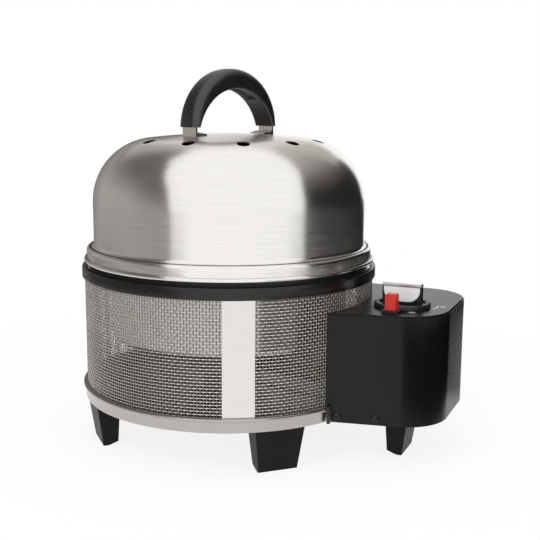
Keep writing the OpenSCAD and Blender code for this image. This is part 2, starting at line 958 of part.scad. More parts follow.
// Gas valve that hangs from the cover on two pillars
module valve_body() {
    color(brass)
        control_place()
            difference() {
                union() {
                    translate([0, 0, valve_top - valve_h])
                        cylinder(r = valve_r, h = valve_h);
                    translate([0, 0, valve_top])
                        cylinder(r = valve_flange_r, h = valve_flange_t);
                    for (s = [-1, 1])
                        translate([0, s * (valve_flange_r - pillar_r - 1), valve_top])
                            cylinder(r = pillar_r, h = tub_top - valve_top);
                }
                translate([0, 0, valve_top - valve_h + 4])
                    cylinder(r = spindle_r + run_gap, h = valve_h + 10);
                for (a = [-90, 90])
                    translate([0, 0, outlet_z])
                        rotate([0, a, 0])
                            translate([0, 0, valve_r - 3])
                                cylinder(r = pipe_r + screw_gap, h = 6);
            }
}

// Pipe from the cartridge coupling up to the valve
module feed_pipe() {
    side_x = control_x + feed_reach;
    side_y = coupling_y - feed_inset;
    color(brass)
        bent_pipe([
            [cartridge_x + coupling_w / 2, side_y, cartridge_z],
            [side_x, side_y, cartridge_z],
            [side_x, side_y, outlet_z],
            [side_x, control_y, outlet_z],
            [control_x + valve_r - 1, control_y, outlet_z]], pipe_r);
}

// Block that takes the cartridge's nozzle
module cartridge_coupling() {
    color(dark_steel)
        difference() {
            translate([cartridge_x - coupling_w / 2, coupling_y - coupling_l, floor_top])
                cube([coupling_w, coupling_l, coupling_top - floor_top]);
            cartridge_place()
                translate([0, 0, -collar_t - nozzle_l - 1])
                    cylinder(r = nozzle_r + loose_gap, h = nozzle_l + 2);
        }
}

// Saddle under the cartridge
module cartridge_cradle() {
    cradle_w = 36;
    cradle_l = 60;
    color(soft_black)
        difference() {
            translate([cartridge_x - cradle_w / 2, control_y + 20, floor_top])
                cube([cradle_w, cradle_l, cradle_h + 6]);
            cartridge_place()
                cylinder(r = cartridge_r + loose_gap, h = cartridge_l);
        }
}

// Igniter below the tab, held against the cover
module piezo_igniter() {
    color([0.85, 0.85, 0.82])
        translate([button_at[0], button_at[1], tub_top])
            difference() {
                union() {
                    translate([0, 0, -piezo_l])
                        cylinder(r = piezo_r, h = piezo_l);
                    translate([0, 0, -piezo_flange_t])
                        cylinder(r = piezo_r + 2, h = piezo_flange_t);
                }
                translate([0, 0, -piezo_l + 8])
                    cylinder(r = stem_r + loose_gap, h = piezo_l);
            }
}

// Flat flange that hangs the lift-out bowl in the rim band
module bowl_flange() {
    color(steel)
        rotate_extrude()
            translate([bowl_r - sheet_t, ledge_z])
                square([flange_r - bowl_r + sheet_t, sheet_t]);
}

// Round wall of the bowl, turned in at its foot
module bowl_wall() {
    turn_c = [bowl_r - bowl_foot_r, bowl_z + bowl_foot_r];
    color(steel)
        rotate_extrude()
            polygon(concat(
                [[bowl_r, ledge_z]],
                arc(turn_c, bowl_foot_r, 0, -90, 5),
                arc(turn_c, bowl_foot_r - sheet_t, -90, 0, 5),
                [[bowl_r - sheet_t, ledge_z]]));
}

// Flat floor of the bowl, open in the middle
module bowl_floor() {
    color(steel)
        rotate_extrude()
            translate([eye_r + eye_lean, bowl_z])
                square([bowl_r - bowl_foot_r - eye_r - eye_lean, sheet_t]);
}

// Leaning wall round the bowl's open middle
module bowl_chimney() {
    foot_z = bowl_z + sheet_t;
    eye_top = bowl_z + bowl_eye_h;
    color(steel)
        rotate_extrude()
            polygon([
                [eye_r + eye_lean, foot_z],
                [eye_r + eye_lean + sheet_t, foot_z],
                [eye_r + sheet_t, eye_top],
                [eye_r, eye_top]]);
}

// Dished plate with ridges, drain holes and the rim that carries the lid
module grill_plate() {
    ridge_pitch = 14;
    ridge_h = 1.6;
    well_r = bowl_r - 8;
    plate_z = flange_top;
    rise = plate_rise;
    color(soft_black)
        difference() {
            union() {
                rotate_extrude()
                    polygon([
                        [0, plate_z + rise],
                        [well_r * 0.8, plate_z],
                        [plate_r, plate_z],
                        [plate_r, plate_rim_top],
                        [plate_r - plate_rim_t, plate_rim_top],
                        [plate_r - plate_rim_t, plate_z + plate_t],
                        [well_r * 0.8, plate_z + plate_t],
                        [0, plate_z + plate_t + rise]]);
                for (i = [1:6])
                    rotate_extrude()
                        translate([ridge_pitch * i, plate_z + rise * (1 - ridge_pitch * i / (well_r * 0.8))])
                            square([4, plate_t + ridge_h]);
            }
            for (i = [0:drain_count - 1])
                rotate([0, 0, 360 / drain_count * i])
                    translate([well_r - 6, 0, plate_z - 1])
                        cylinder(r = drain_d / 2, h = plate_t + 2);
        }
}

// Stepped rim, straight wall and dome of the lid
module lid_dome() {
    skirt_turn = lid_step / 2;
    bead_r = lid_bead_h / 2;
    inner = lid_t;
    bead_c = [lid_skirt_r + lid_bead_out - bead_r, lid_bottom + bead_r];
    outer_profile = concat(
        arc(bead_c, bead_r, -90, 90, 8),
        [[lid_skirt_r, lid_bottom + lid_bead_h]],
        arc([lid_skirt_r - skirt_turn, plate_rim_top], skirt_turn, 0, 90, 5),
        arc([lid_r + lid_step - skirt_turn, plate_rim_top + lid_step], lid_step - skirt_turn, 270, 180, 5),
        arc(shoulder_c, lid_shoulder_r, 0, crown_angle, 20),
        arc([0, crown_z], lid_crown_r, crown_angle, 90, 6));
    inner_profile = concat(
        arc([0, crown_z], lid_crown_r - inner, 90, crown_angle, 6),
        arc(shoulder_c, lid_shoulder_r - inner, crown_angle, 0, 20),
        [[lid_r - inner, plate_rim_top],
        [lid_skirt_r - inner, plate_rim_top],
        [lid_skirt_r - inner, lid_bottom]]);
    color(steel)
        difference() {
            rotate_extrude()
                polygon(concat(outer_profile, inner_profile));
            for (i = [0:vent_count - 1])
                rotate([0, 0, vent_angle + 360 / vent_count * i])
                    translate([vent_circle_r, 0, lid_arch_z])
                        cylinder(r = vent_d / 2, h = lid_top);
            handle_place()
                rivet_places()
                    translate([0, 0, lid_arch_z])
                        cylinder(r = rivet_r + screw_gap, h = lid_top);
        }
}

// Handle: local +X runs from the near bracket to the far one
module handle_place() {
    rotate([0, 0, handle_angle])
        children();
}

module rivet_places() {
    for (s = [-1, 1])
        for (t = [-1, 1])
            translate([s * rivet_x, t * rivet_y, 0])
                children();
}

// Places of the grip screws, with +Z out from the grip's centre
module grip_screw_places() {
    for (s = [-1, 1])
        translate([0, 0, grip_z])
            rotate([0, s * (90 - grip_screw_angle), 0])
                children();
}

// Ring round the grip's centre, with its axis across the hand
module grip_turn() {
    translate([0, 0, grip_z])
        rotate([90, 0, 0])
            children();
}

// Arched grip: crowned outside, round hand opening, channel along its inside
module handle_grip() {
    roll = 8;
    channel_w = 15;
    channel_d = 2.5;
    n = 20;
    half = grip_w / 2;
    slot_w = bracket_w + 2 * slot_gap;
    crowned = [for (i = [0:n]) let (a = -90 + 180 * i / n)
        [grip_r - roll + (roll + grip_crown) * sqrt(max(cos(a), 0)),
        half * sign(sin(a)) * sqrt(abs(sin(a)))]];
    color(soft_black)
        handle_place()
            difference() {
                grip_turn()
                    rotate_extrude()
                        polygon(concat([[grip_open_r / 2, -half]], crowned, [[grip_open_r / 2, half]]));
                translate([-2 * grip_r, -grip_r, grip_foot_z - 4 * grip_r])
                    cube([4 * grip_r, 2 * grip_r, 4 * grip_r]);
                translate([0, grip_w, grip_z - grip_open_drop])
                    rotate([90, 0, 0])
                        cylinder(r = grip_open_r, h = 2 * grip_w);
                translate([0, channel_w / 2, grip_z - grip_open_drop])
                    rotate([90, 0, 0])
                        intersection() {
                            cylinder(r = grip_open_r + channel_d, h = channel_w);
                            translate([-grip_open_r * 0.6, 0, 0])
                                cube([grip_open_r * 1.2, 2 * grip_open_r, channel_w]);
                        }
                grip_turn()
                    for (s = [0, 1])
                        mirror([s, 0, 0])
                            rotate([0, 0, -6])
                                rotate_extrude(angle = bracket_reach + 7)
                                    translate([strap_r - slot_gap, -slot_w / 2])
                                        square([bracket_t + 2 * slot_gap, slot_w]);
                grip_screw_places() {
                    cylinder(r = screw_bore, h = strap_r);
                    cylinder(r = screw_r * 1.8, h = screw_seat + screw_sink);
                }
            }
}

// Steel bracket: foot on the dome, upright, and a strap up into the grip
module handle_bracket(s) {
    color(steel)
        handle_place()
            mirror([s < 0 ? 1 : 0, 0, 0])
                difference() {
                    union() {
                        grip_turn()
                            rotate_extrude(angle = bracket_reach)
                                translate([strap_r, -bracket_w / 2])
                                    square([bracket_t, bracket_w]);
                        translate([strap_r, -bracket_w / 2, lid_top - 6])
                            cube([bracket_t, bracket_w, grip_z - lid_top + 6]);
                        translate([strap_out - bracket_foot, -bracket_w / 2, lid_top - 6])
                            cube([bracket_foot, bracket_w, 6 + foot_sheet]);
                    }
                    translate([0, 0, crown_z])
                        sphere(r = lid_crown_r, $fn = 360);
                    rivet_places()
                        translate([0, 0, lid_top - 10])
                            cylinder(r = rivet_r + screw_gap, h = 20);
                    grip_screw_places()
                        cylinder(r = screw_bore, h = 2 * grip_r);
                }
}

module grip_screws() {
    color(dark_steel)
        handle_place()
            grip_screw_places()
                translate([0, 0, screw_seat + screw_sink])
                    mirror([0, 0, 1])
                        round_screw(screw_r * 1.7, 2, screw_r, strap_out - screw_seat - screw_sink - slot_gap);
}

// Rivets through the bracket feet and the dome
module bracket_rivets() {
    head_r = 3.9;
    head_z = lid_top + foot_sheet;
    tail_z = crown_z + sqrt(pow(lid_crown_r - lid_t, 2) - pow(rivet_x + rivet_y, 2)) - 1;
    color(steel)
        handle_place()
            rivet_places() {
                translate([0, 0, head_z])
                    round_head(head_r, 1.6);
                translate([0, 0, tail_z])
                    cylinder(r = rivet_r, h = head_z - tail_z + eps);
                translate([0, 0, tail_z - 1])
                    cylinder(r = rivet_r * 1.35, h = 1);
            }
}

// Flat-based round head
module round_head(r, h) {
    rotate_extrude()
        polygon(concat([[0, 0]], [for (i = [0:6]) [r * cos(15 * i), h * sin(15 * i)]]));
}

// Opening between the knob's arms: straight above, round below
module knob_opening(d, top) {
    half = knob_l / 2 - knob_arm_w - d;
    r = knob_fillet - d;
    low = knob_z + knob_disc_t + knob_sill - loose_gap + d;
    polygon(concat(
        [[half, top], [-half, top]],
        arc([-half + r, low + r], r, 180, 270, 8),
        arc([half - r, low + r], r, 270, 360, 8)));
}

// Stands a flat shape drawn in X and Z upright, with thickness t along Y
module upright(t) {
    translate([0, t / 2, 0])
        rotate([90, 0, 0])
            linear_extrude(height = t)
                children();
}

// Turning knob: disc in the bezel and two arms with filleted feet
module control_knob() {
    arm_z = knob_z + knob_disc_t;
    color(black)
        control_place()
            difference() {
                union() {
                    translate([0, 0, knob_z])
                        cylinder(r = knob_r, h = knob_disc_t);
                    upright(knob_arm_t)
                        difference() {
                            translate([-knob_l / 2, arm_z - eps])
                                square([knob_l, knob_arm_top - arm_z + eps]);
                            knob_opening(0, knob_arm_top + 1);
                        }
                }
                translate([0, 0, knob_z - 1])
                    cylinder(r = spindle_r + run_gap, h = knob_disc_t + 0.5);
                knob_rivet_places()
                    cylinder(r = knob_rivet_r + screw_gap, h = 2 * knob_arm_t, center = true);
            }
}

module knob_rivet_places() {
    for (s = [-1, 1])
        translate([s * (knob_l / 2 - knob_rivet_in), 0, knob_z + knob_disc_t + knob_rivet_in])
            rotate([90, 0, 0])
                children();
}

// Bright plates between the arms, set in a little from the knob's front and back
module knob_plate() {
    color(steel)
        control_place()
            for (s = [-1, 1])
                translate([0, s * (knob_arm_t - knob_plate_t - 2 * knob_plate_set) / 2, 0])
                    upright(knob_plate_t)
                        knob_opening(knob_fit, knob_arm_top);
}

// Bright bar along the top of the knob
module knob_bar() {
    e = 1;
    h = knob_bar_h;
    w = knob_bar_w / 2;
    color(steel)
        control_place()
            translate([-knob_l / 2, 0, knob_arm_top])
                rotate([90, 0, 90])
                    linear_extrude(height = knob_l)
                        polygon([
                            [-w + e, 0], [w - e, 0], [w, e], [w, h - e],
                            [w - e, h], [-w + e, h], [-w, h - e], [-w, e]]);
}

module knob_rivets() {
    head = 1.8;
    color(steel)
        control_place()
            knob_rivet_places() {
                cylinder(r = knob_rivet_r, h = knob_arm_t, center = true);
                for (s = [0, 1])
                    mirror([0, 0, s])
                        translate([0, 0, knob_arm_t / 2])
                            round_head(head, 0.8);
            }
}

// Spindle from the knob into the valve
module valve_spindle() {
    low = valve_top - valve_h + 5;
    color(steel)
        control_place()
            translate([0, 0, low])
                cylinder(r = spindle_r, h = knob_z + knob_disc_t - 0.6 - low);
}

// Red push button with its stem in the igniter
module igniter_button() {
    e = 0.8;
    color(red)
        button_place() {
            translate([0, 0, button_foot]) {
                linear_extrude(height = box_top + tab_t + button_h - button_foot - e)
                    square(button_w, center = true);
                linear_extrude(height = box_top + tab_t + button_h - button_foot)
                    square(button_w - 2 * e, center = true);
            }
            translate([0, 0, tub_top - piezo_l + 8 + button_travel + 1])
                cylinder(r = stem_r, h = button_foot - tub_top + piezo_l - 8 - button_travel - 1 + eps);
        }
}

// Thin-walled cartridge with a domed valve end and a hollow base; the collar closes its mouth
module gas_cartridge() {
    r = cartridge_r;
    l = cartridge_l;
    seam = 1.2;
    wall = 1;
    mouth_r = 5;
    body_r = r - seam;
    base_c = [0, l + r * 1.5];
    base_r = r * 1.75;
    color([0.86, 0.86, 0.84])
        cartridge_place()
            rotate_extrude()
                polygon(concat(
                    [[mouth_r, 0], [collar_r, 0], [r - 8, 7], [r - 2, 13], [body_r, 17]],
                    [[body_r, l - 4], [r, l - 3], [r, l], [r - 3, l]],
                    arc(base_c, base_r, -60, -90, 6),
                    arc(base_c, base_r + wall, -90, -62, 6),
                    [[body_r - wall, l - 6], [body_r - wall, 17.5], [r - 2 - wall, 14]],
                    [[r - 8 - wall, 8], [mouth_r, wall]]));
}

// Collar and nozzle at the cartridge's valve end
module cartridge_nozzle() {
    color(brass)
        cartridge_place() {
            translate([0, 0, -collar_t])
                difference() {
                    cylinder(r = collar_r, h = collar_t);
                    translate([collar_r - 3, -2, -1])
                        cube([6, 4, collar_t + 2]);
                }
            translate([0, 0, -collar_t - nozzle_l])
                cylinder(r = nozzle_r, h = nozzle_l + eps);
        }
}

// Moves a piece so that the origin lies under the middle of the whole grill
module placed() {
    translate([-middle_x, 0, 0])
        children();
}

placed() base_ring();
placed() base_pan();
placed() body_foot(0);  // front_right_foot
placed() body_foot(1);  // front_left_foot
placed() body_foot(2);  // rear_left_foot
placed() body_foot(3);  // rear_right_foot
placed() foot_screws();
placed() mesh_wall();
placed() name_plate();
placed() rim_band();
placed() burner_stand();
placed() burner_body();
placed() burner_cap();
placed() mixing_tube();
placed() jet_holder();
placed() gas_pipe();
placed() electrode();
placed() ignition_lead();
placed() gas_box();
placed() gas_box_cover();
placed() box_foot();
placed() box_foot_screws();
placed() box_screws();
placed() box_bracket();
placed() bracket_screws();
placed() ring_clips();
placed() bezel_ring();
placed() valve_body();
placed() feed_pipe();
placed() cartridge_coupling();
placed() cartridge_cradle();
placed() piezo_igniter();
placed() bowl_flange();
placed() bowl_wall();
placed() bowl_floor();
placed() bowl_chimney();
placed() grill_plate();
placed() lid_dome();
placed() handle_grip();
placed() handle_bracket(-1);  // near_handle_bracket
placed() handle_bracket(1);  // far_handle_bracket
placed() grip_screws();
placed() bracket_rivets();
placed() control_knob();
placed() knob_plate();
placed() knob_bar();
placed() knob_rivets();
placed() valve_spindle();
placed() igniter_button();
placed() gas_cartridge();
placed() cartridge_nozzle();
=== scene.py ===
"""Looks of the portable gas grill: smooth shells, a woven wall, materials, light and camera."""
import json
import math

import bmesh
import bpy
import numpy as np
from mathutils import Matrix, Vector

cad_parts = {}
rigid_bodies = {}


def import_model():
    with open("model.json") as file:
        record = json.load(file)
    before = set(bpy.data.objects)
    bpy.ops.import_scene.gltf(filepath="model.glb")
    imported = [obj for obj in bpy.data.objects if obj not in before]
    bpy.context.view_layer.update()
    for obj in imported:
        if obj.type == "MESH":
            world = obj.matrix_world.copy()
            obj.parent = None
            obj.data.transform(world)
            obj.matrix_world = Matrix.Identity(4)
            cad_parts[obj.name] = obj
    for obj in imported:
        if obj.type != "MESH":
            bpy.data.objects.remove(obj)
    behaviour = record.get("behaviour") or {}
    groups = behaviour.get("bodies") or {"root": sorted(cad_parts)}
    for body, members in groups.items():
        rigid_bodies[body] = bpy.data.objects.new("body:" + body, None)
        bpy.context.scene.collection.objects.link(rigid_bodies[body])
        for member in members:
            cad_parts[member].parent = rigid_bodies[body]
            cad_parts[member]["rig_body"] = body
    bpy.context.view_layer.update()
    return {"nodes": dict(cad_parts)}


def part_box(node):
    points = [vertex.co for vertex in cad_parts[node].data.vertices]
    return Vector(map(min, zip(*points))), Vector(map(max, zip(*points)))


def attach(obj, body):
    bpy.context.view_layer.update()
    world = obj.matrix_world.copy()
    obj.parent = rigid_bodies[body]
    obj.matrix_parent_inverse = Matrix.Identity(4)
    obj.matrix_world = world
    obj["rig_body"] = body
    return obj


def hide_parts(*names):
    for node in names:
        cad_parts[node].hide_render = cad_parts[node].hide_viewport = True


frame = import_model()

MM = 0.001
BODY_X = sum(corner.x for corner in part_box("rim_band")) / 2
AXIS = Vector((BODY_X, 0, 0))
BODY_OF = {name: obj["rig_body"] for name, obj in frame["nodes"].items()}


def sizes(node):
    """Lowest and highest corner of a CAD node, in millimetres from the body's axis."""
    low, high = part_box(node)
    return (low - AXIS) / MM, (high - AXIS) / MM


# Sizes read from the frame
BAND_LOW, BAND_HIGH = sizes("rim_band")
MESH_LOW, MESH_HIGH = sizes("mesh_wall")
RING_LOW, RING_HIGH = sizes("base_ring")
LID_LOW, LID_HIGH = sizes("lid_dome")
KNOB_LOW, KNOB_HIGH = sizes("valve_spindle")
BOWL_BOTTOM = sizes("bowl_floor")[0].z
FLANGE_HIGH = sizes("bowl_flange")[1]
COVER_TOP = sizes("gas_box_cover")[1].z
GRIP_TOP = sizes("handle_grip")[1].z

# Shared by all shells: angle of a sharp edge, steps round a turned shell, sheet thickness
SHARP = 32
ROUND_STEPS = 288
SHEET = 1.2

# Band, and the seats it gives to the woven wall and the bowl
MESH_OUT = MESH_HIGH.x
MESH_T = 1.5
MESH_IN = MESH_OUT - MESH_T
MESH_SEAT = 2
MESH_PLAY = 0.15
BAND_R = BAND_HIGH.x
BAND_EDGE = 1.5
BAND_MOUTH = 0.6
SEAT_STEP = 0.5
SEAT_R = MESH_IN - SEAT_STEP
LEDGE = 4
LEDGE_R = SEAT_R - LEDGE
LEDGE_Z = BAND_HIGH.z - LEDGE

# Base ring, with the sweep under its lip as steps out from the wall and down from the top
RING_LIP_R = RING_HIGH.x
RING_LIP = 2.5
RING_R = RING_LIP_R - RING_LIP
RING_WALL = 2
RING_IN = MESH_IN - RING_WALL
RING_FLANGE = 14.8
RING_FLANGE_R = RING_R - RING_FLANGE
RING_EDGE = 0.8
RING_SWEEP = ((0.3, 5), (0.5, 4), (1.1, 3.3), (RING_LIP - 0.3, 2.9))
LIP_FACE = 1

# Bowl
BOWL_R = 130
BOWL_FOOT_R = 10
BOWL_TURN = 2
EYE_R = 58
EYE_H = 42
EYE_LEAN = 12
BOWL_NODES = ("bowl_wall", "bowl_flange", "bowl_floor", "bowl_chimney")

# Lid
BEAD_H = 4.4
BEAD_OUT = 3
BEAD_NECK = 0.3
BEAD_NECK_H = 0.4
LID_SKIRT_R = LID_HIGH.x - BEAD_OUT
LID_SKIRT_H = 12.2
LID_STEP = 7.7
LID_R = LID_SKIRT_R - LID_STEP
LID_SEAT_Z = LID_LOW.z + LID_SKIRT_H
LID_WALL_H = 50.7
LID_ARCH_Z = LID_SEAT_Z + LID_WALL_H
SHOULDER_R = 68
CROWN_R = 750
SHOULDER_X = LID_R - SHOULDER_R
CROWN_Z = LID_ARCH_Z - math.sqrt((CROWN_R - SHOULDER_R) ** 2 - SHOULDER_X ** 2)
CROWN_ANGLE = math.degrees(math.atan2(LID_ARCH_Z - CROWN_Z, SHOULDER_X))
VENT_COUNT = 11
VENT_R = 6.7
VENT_CIRCLE = 97
VENT_ANGLE = -89.5
VENT_MARGIN = 1
VENT_REACH = VENT_CIRCLE + VENT_R + VENT_MARGIN
CUT_PAST = 20

# Woven wall, and the port in it for the gas pipe and the lead
WIRE_UP = 306
WIRE_RINGS = 37
WIRE_R = 0.56
WIRE_WAVE = 0.4
WIRE_SIDES = 5
WIRE_SHARP = 80
PORT_ANGLE = -15
PORT_Z = 81.4
PORT_R = 10

# Name plate
PLATE_ANGLE = -61.7
PLATE_W = 32
PLATE_T = 1.1
PLATE_GAP = 0.05
PLATE_EDGE = 0.35
PLATE_SHARP = 40

# Grip
GRIP_ANGLE = 69
GRIP_R = 59
GRIP_CROWN = 3.5
GRIP_ROLL = 8
GRIP_HALF = 14
GRIP_FULL = 0.68
GRIP_OPEN_R = 55
GRIP_DROP = 13.5
GRIP_Z = GRIP_TOP - GRIP_R - GRIP_CROWN
GRIP_EDGE = 2.2
GRIP_END_EDGE = 0.8
GRIP_SHARP = 50
GRIP_START = 1.5
CHANNEL_HALF = 7.5
CHANNEL_SLOPE = 1
CHANNEL_D = 2.5
CHANNEL_SHOULDER = 0.3
CHANNEL_REACH = 33

# Marks on the cover, placed from the knob's axis
KNOB_X = (KNOB_LOW.x + KNOB_HIGH.x) / 2
KNOB_Y = (KNOB_LOW.y + KNOB_HIGH.y) / 2
MARK_LOW = COVER_TOP - 0.02
MARK_HIGH = COVER_TOP + 0.08
SWELL_ANGLES = (-12, 19)
SWELL_R = (31.5, 36.5)
SWELL_W = (0.4, 1.6)
SWELL_STEPS = 16
BAR_ENDS = ((37.6, 8.6), (41.7, 13.2))
BAR_W = (3, 3)
STAR_AT = (17, -28)
STAR_ANGLES = (20, 80, 140)
STAR_REACH = 3.8
STAR_W = (0.6, 0.6)

# Rounded edges of the pieces that keep their CAD shape
FEET = ("front_right_foot", "front_left_foot", "rear_left_foot", "rear_right_foot", "box_foot")
FOOT_EDGE = 1.0
FINE_EDGE = 0.15
EDGES = {
    **dict.fromkeys(FEET, FOOT_EDGE),
    "gas_box": 0.5,
    "gas_box_cover": 0.9,
    "bezel_ring": 0.5,
    "control_knob": 0.5,
    "knob_plate": 0.2,
    "knob_bar": 0.4,
    "igniter_button": 0.4,
    "near_handle_bracket": 0.35,
    "far_handle_bracket": 0.35,
    "ring_clips": 0.4,
}
FLAT_ANGLE = 0.6

# Lengths below this count as none
TINY = 1e-6

# Limits on a face's direction, by which it gets its piece's second finish: painted shade inside the lid, in
# its vents and on the bar's sides, and painted light on the bowl's outside
LID_INWARD = 0.2
VENT_STEEP = 0.3
BOWL_OUTWARD = 0.1
BAR_UPWARD = 0.9


# Mesh helpers
def arc(x, z, r, start, end, count):
    """Points on an arc, with the angles in degrees."""
    turns = np.radians(np.linspace(start, end, count + 1))
    return [(x + r * math.cos(turn), z + r * math.sin(turn)) for turn in turns]


def link(name, mesh, sharp=SHARP, at=AXIS):
    """Object for a mesh that is smooth apart from its sharp edges."""
    mesh.polygons.foreach_set("use_smooth", [True] * len(mesh.polygons))
    mesh.set_sharp_from_angle(angle=math.radians(sharp))
    obj = bpy.data.objects.new(name, mesh)
    obj.location = at
    bpy.context.scene.collection.objects.link(obj)
    return obj


def make(name, points, faces, sharp=SHARP):
    """Object from points in millimetres, with its faces turned outward."""
    mesh = bpy.data.meshes.new(name)
    mesh.from_pydata([Vector(point) * MM for point in points], [], faces)
    shape = bmesh.new()
    shape.from_mesh(mesh)
    bmesh.ops.recalc_face_normals(shape, faces=shape.faces)
    shape.to_mesh(mesh)
    shape.free()
    return link(name, mesh, sharp)


def revolve(name, loop):
    """Turns a closed loop of (radius, height) round the Z axis."""
    points, rings, faces = [], [], []
    turns = [2 * math.pi * k / ROUND_STEPS for k in range(ROUND_STEPS)]
    for r, z in loop:
        ring = turns if r > TINY else turns[:1]
        rings.append(range(len(points), len(points) + len(ring)))
        points += [(r * math.cos(turn), r * math.sin(turn), z) for turn in ring]
    for near, far in zip(rings, rings[1:] + rings[:1]):
        if len(near) == len(far) == 1:
            continue
        for k in range(ROUND_STEPS):
            j = (k + 1) % ROUND_STEPS
            corners = [near[k % len(near)], near[j % len(near)], far[j % len(far)], far[k % len(far)]]
            faces.append(list(dict.fromkeys(corners)))
    return make(name, points, faces)


def skin(name, rows, sharp=SHARP):
    """Closed solid through a list of equal loops of points."""
    size = len(rows[0])
    points = [point for row in rows for point in row]
    faces = [list(range(size)), list(range(len(points) - size, len(points)))]
    for first in range(0, len(points) - size, size):
        for k in range(size):
            j = (k + 1) % size
            faces.append([first + k, first + j, first + size + j, first + size + k])
    return make(name, points, faces, sharp)


def round_edges(obj, width, steps=2, angle=SHARP):
    """Rounds an object's sharp edges, with the width in millimetres."""
    bevel = obj.modifiers.new("edges", "BEVEL")
    bevel.width = width * MM
    bevel.segments = steps
    bevel.limit_method = "ANGLE"
    bevel.angle_limit = math.radians(angle)
    bevel.harden_normals = True
    return obj


def dress(node, width):
    """Copy of a CAD node with its flat faces joined and its edges rounded."""
    source = frame["nodes"][node].data
    mesh = bpy.data.meshes.new(node + "_look")
    mesh.from_pydata([v.co for v in source.vertices], [], [list(p.vertices) for p in source.polygons])
    shape = bmesh.new()
    shape.from_mesh(mesh)
    bmesh.ops.remove_doubles(shape, verts=shape.verts, dist=TINY)
    flat = math.radians(FLAT_ANGLE)
    bmesh.ops.dissolve_limit(shape, angle_limit=flat, verts=shape.verts, edges=shape.edges)
    shape.to_mesh(mesh)
    shape.free()
    return round_edges(link(node + "_look", mesh, at=Vector()), width)


def cut(obj, cutter):
    """Takes the cutter's space out of an object."""
    step = obj.modifiers.new("cut", "BOOLEAN")
    step.operation = "DIFFERENCE"
    step.solver = "EXACT"
    step.object = cutter
    graph = bpy.context.evaluated_depsgraph_get()
    mesh = bpy.data.meshes.new_from_object(obj.evaluated_get(graph))
    obj.modifiers.clear()
    obj.data = mesh
    mesh.set_sharp_from_angle(angle=math.radians(SHARP))
    bpy.data.objects.remove(cutter)
    return obj


def rods(name, places, r, low, high, count=48):
    """Upright round rods at (x, y) places, as one object."""
    points, faces = [], []
    for x, y in places:
        first = len(points)
        for k in range(count):
            turn = 2 * math.pi * k / count
            points += [(x + r * math.cos(turn), y + r * math.sin(turn), z) for z in (low, high)]
        faces += [[first + 2 * k for k in range(count)], [first + 2 * k + 1 for k in range(count)]]
        for k in range(count):
            j = (k + 1) % count
            faces.append([first + 2 * k, first + 2 * j, first + 2 * j + 1, first + 2 * k + 1])
    return make(name, points, faces)


# Materials
NOISE_LOW = 0.3
NOISE_HIGH = 0.7
BUMP_SCALE = 2500
BUMP_DEPTH = 0.0002
ANISO_TURN = 0.25


def node_of(tree, kind, **values):
    """New shader node with some of its inputs or settings given."""
    node = tree.nodes.new(kind)
    for key, value in values.items():
        if key in node.inputs:
            node.inputs[key].default_value = value
        else:
            setattr(node, key, value)
    return node


def math_of(tree, operation, a, b=None):
    """Output of a math node whose inputs are sockets or numbers."""
    node = tree.nodes.new("ShaderNodeMath")
    node.operation = operation
    for socket, value in zip(node.inputs, (a, b)):
        if value is None:
            continue
        if hasattr(value, "is_output"):
            tree.links.new(value, socket)
        else:
            socket.default_value = value
    return node.outputs[0]


def grain_vector(tree, grain, scale):
    """Texture place: plain for grain 'even', drawn out round the Z axis for 'round'."""
    place = node_of(tree, "ShaderNodeTexCoord").outputs["Object"]
    if grain == "round":
        parts = node_of(tree, "ShaderNodeSeparateXYZ")
        tree.links.new(place, parts.inputs[0])
        x, y, z = parts.outputs
        turn = math_of(tree, "ARCTAN2", y, x)
        squares = math_of(tree, "ADD", math_of(tree, "MULTIPLY", x, x), math_of(tree, "MULTIPLY", y, y))
        along = math_of(tree, "SUBTRACT", z, math_of(tree, "SQRT", squares))
        joined = node_of(tree, "ShaderNodeCombineXYZ")
        tree.links.new(math_of(tree, "MULTIPLY", turn, scale[0]), joined.inputs[0])
        tree.links.new(math_of(tree, "MULTIPLY", along, scale[1]), joined.inputs[1])
        return joined.outputs[0]
    mapping = node_of(tree, "ShaderNodeMapping")
    mapping.inputs["Scale"].default_value = scale
    tree.links.new(place, mapping.inputs["Vector"])
    return mapping.outputs[0]


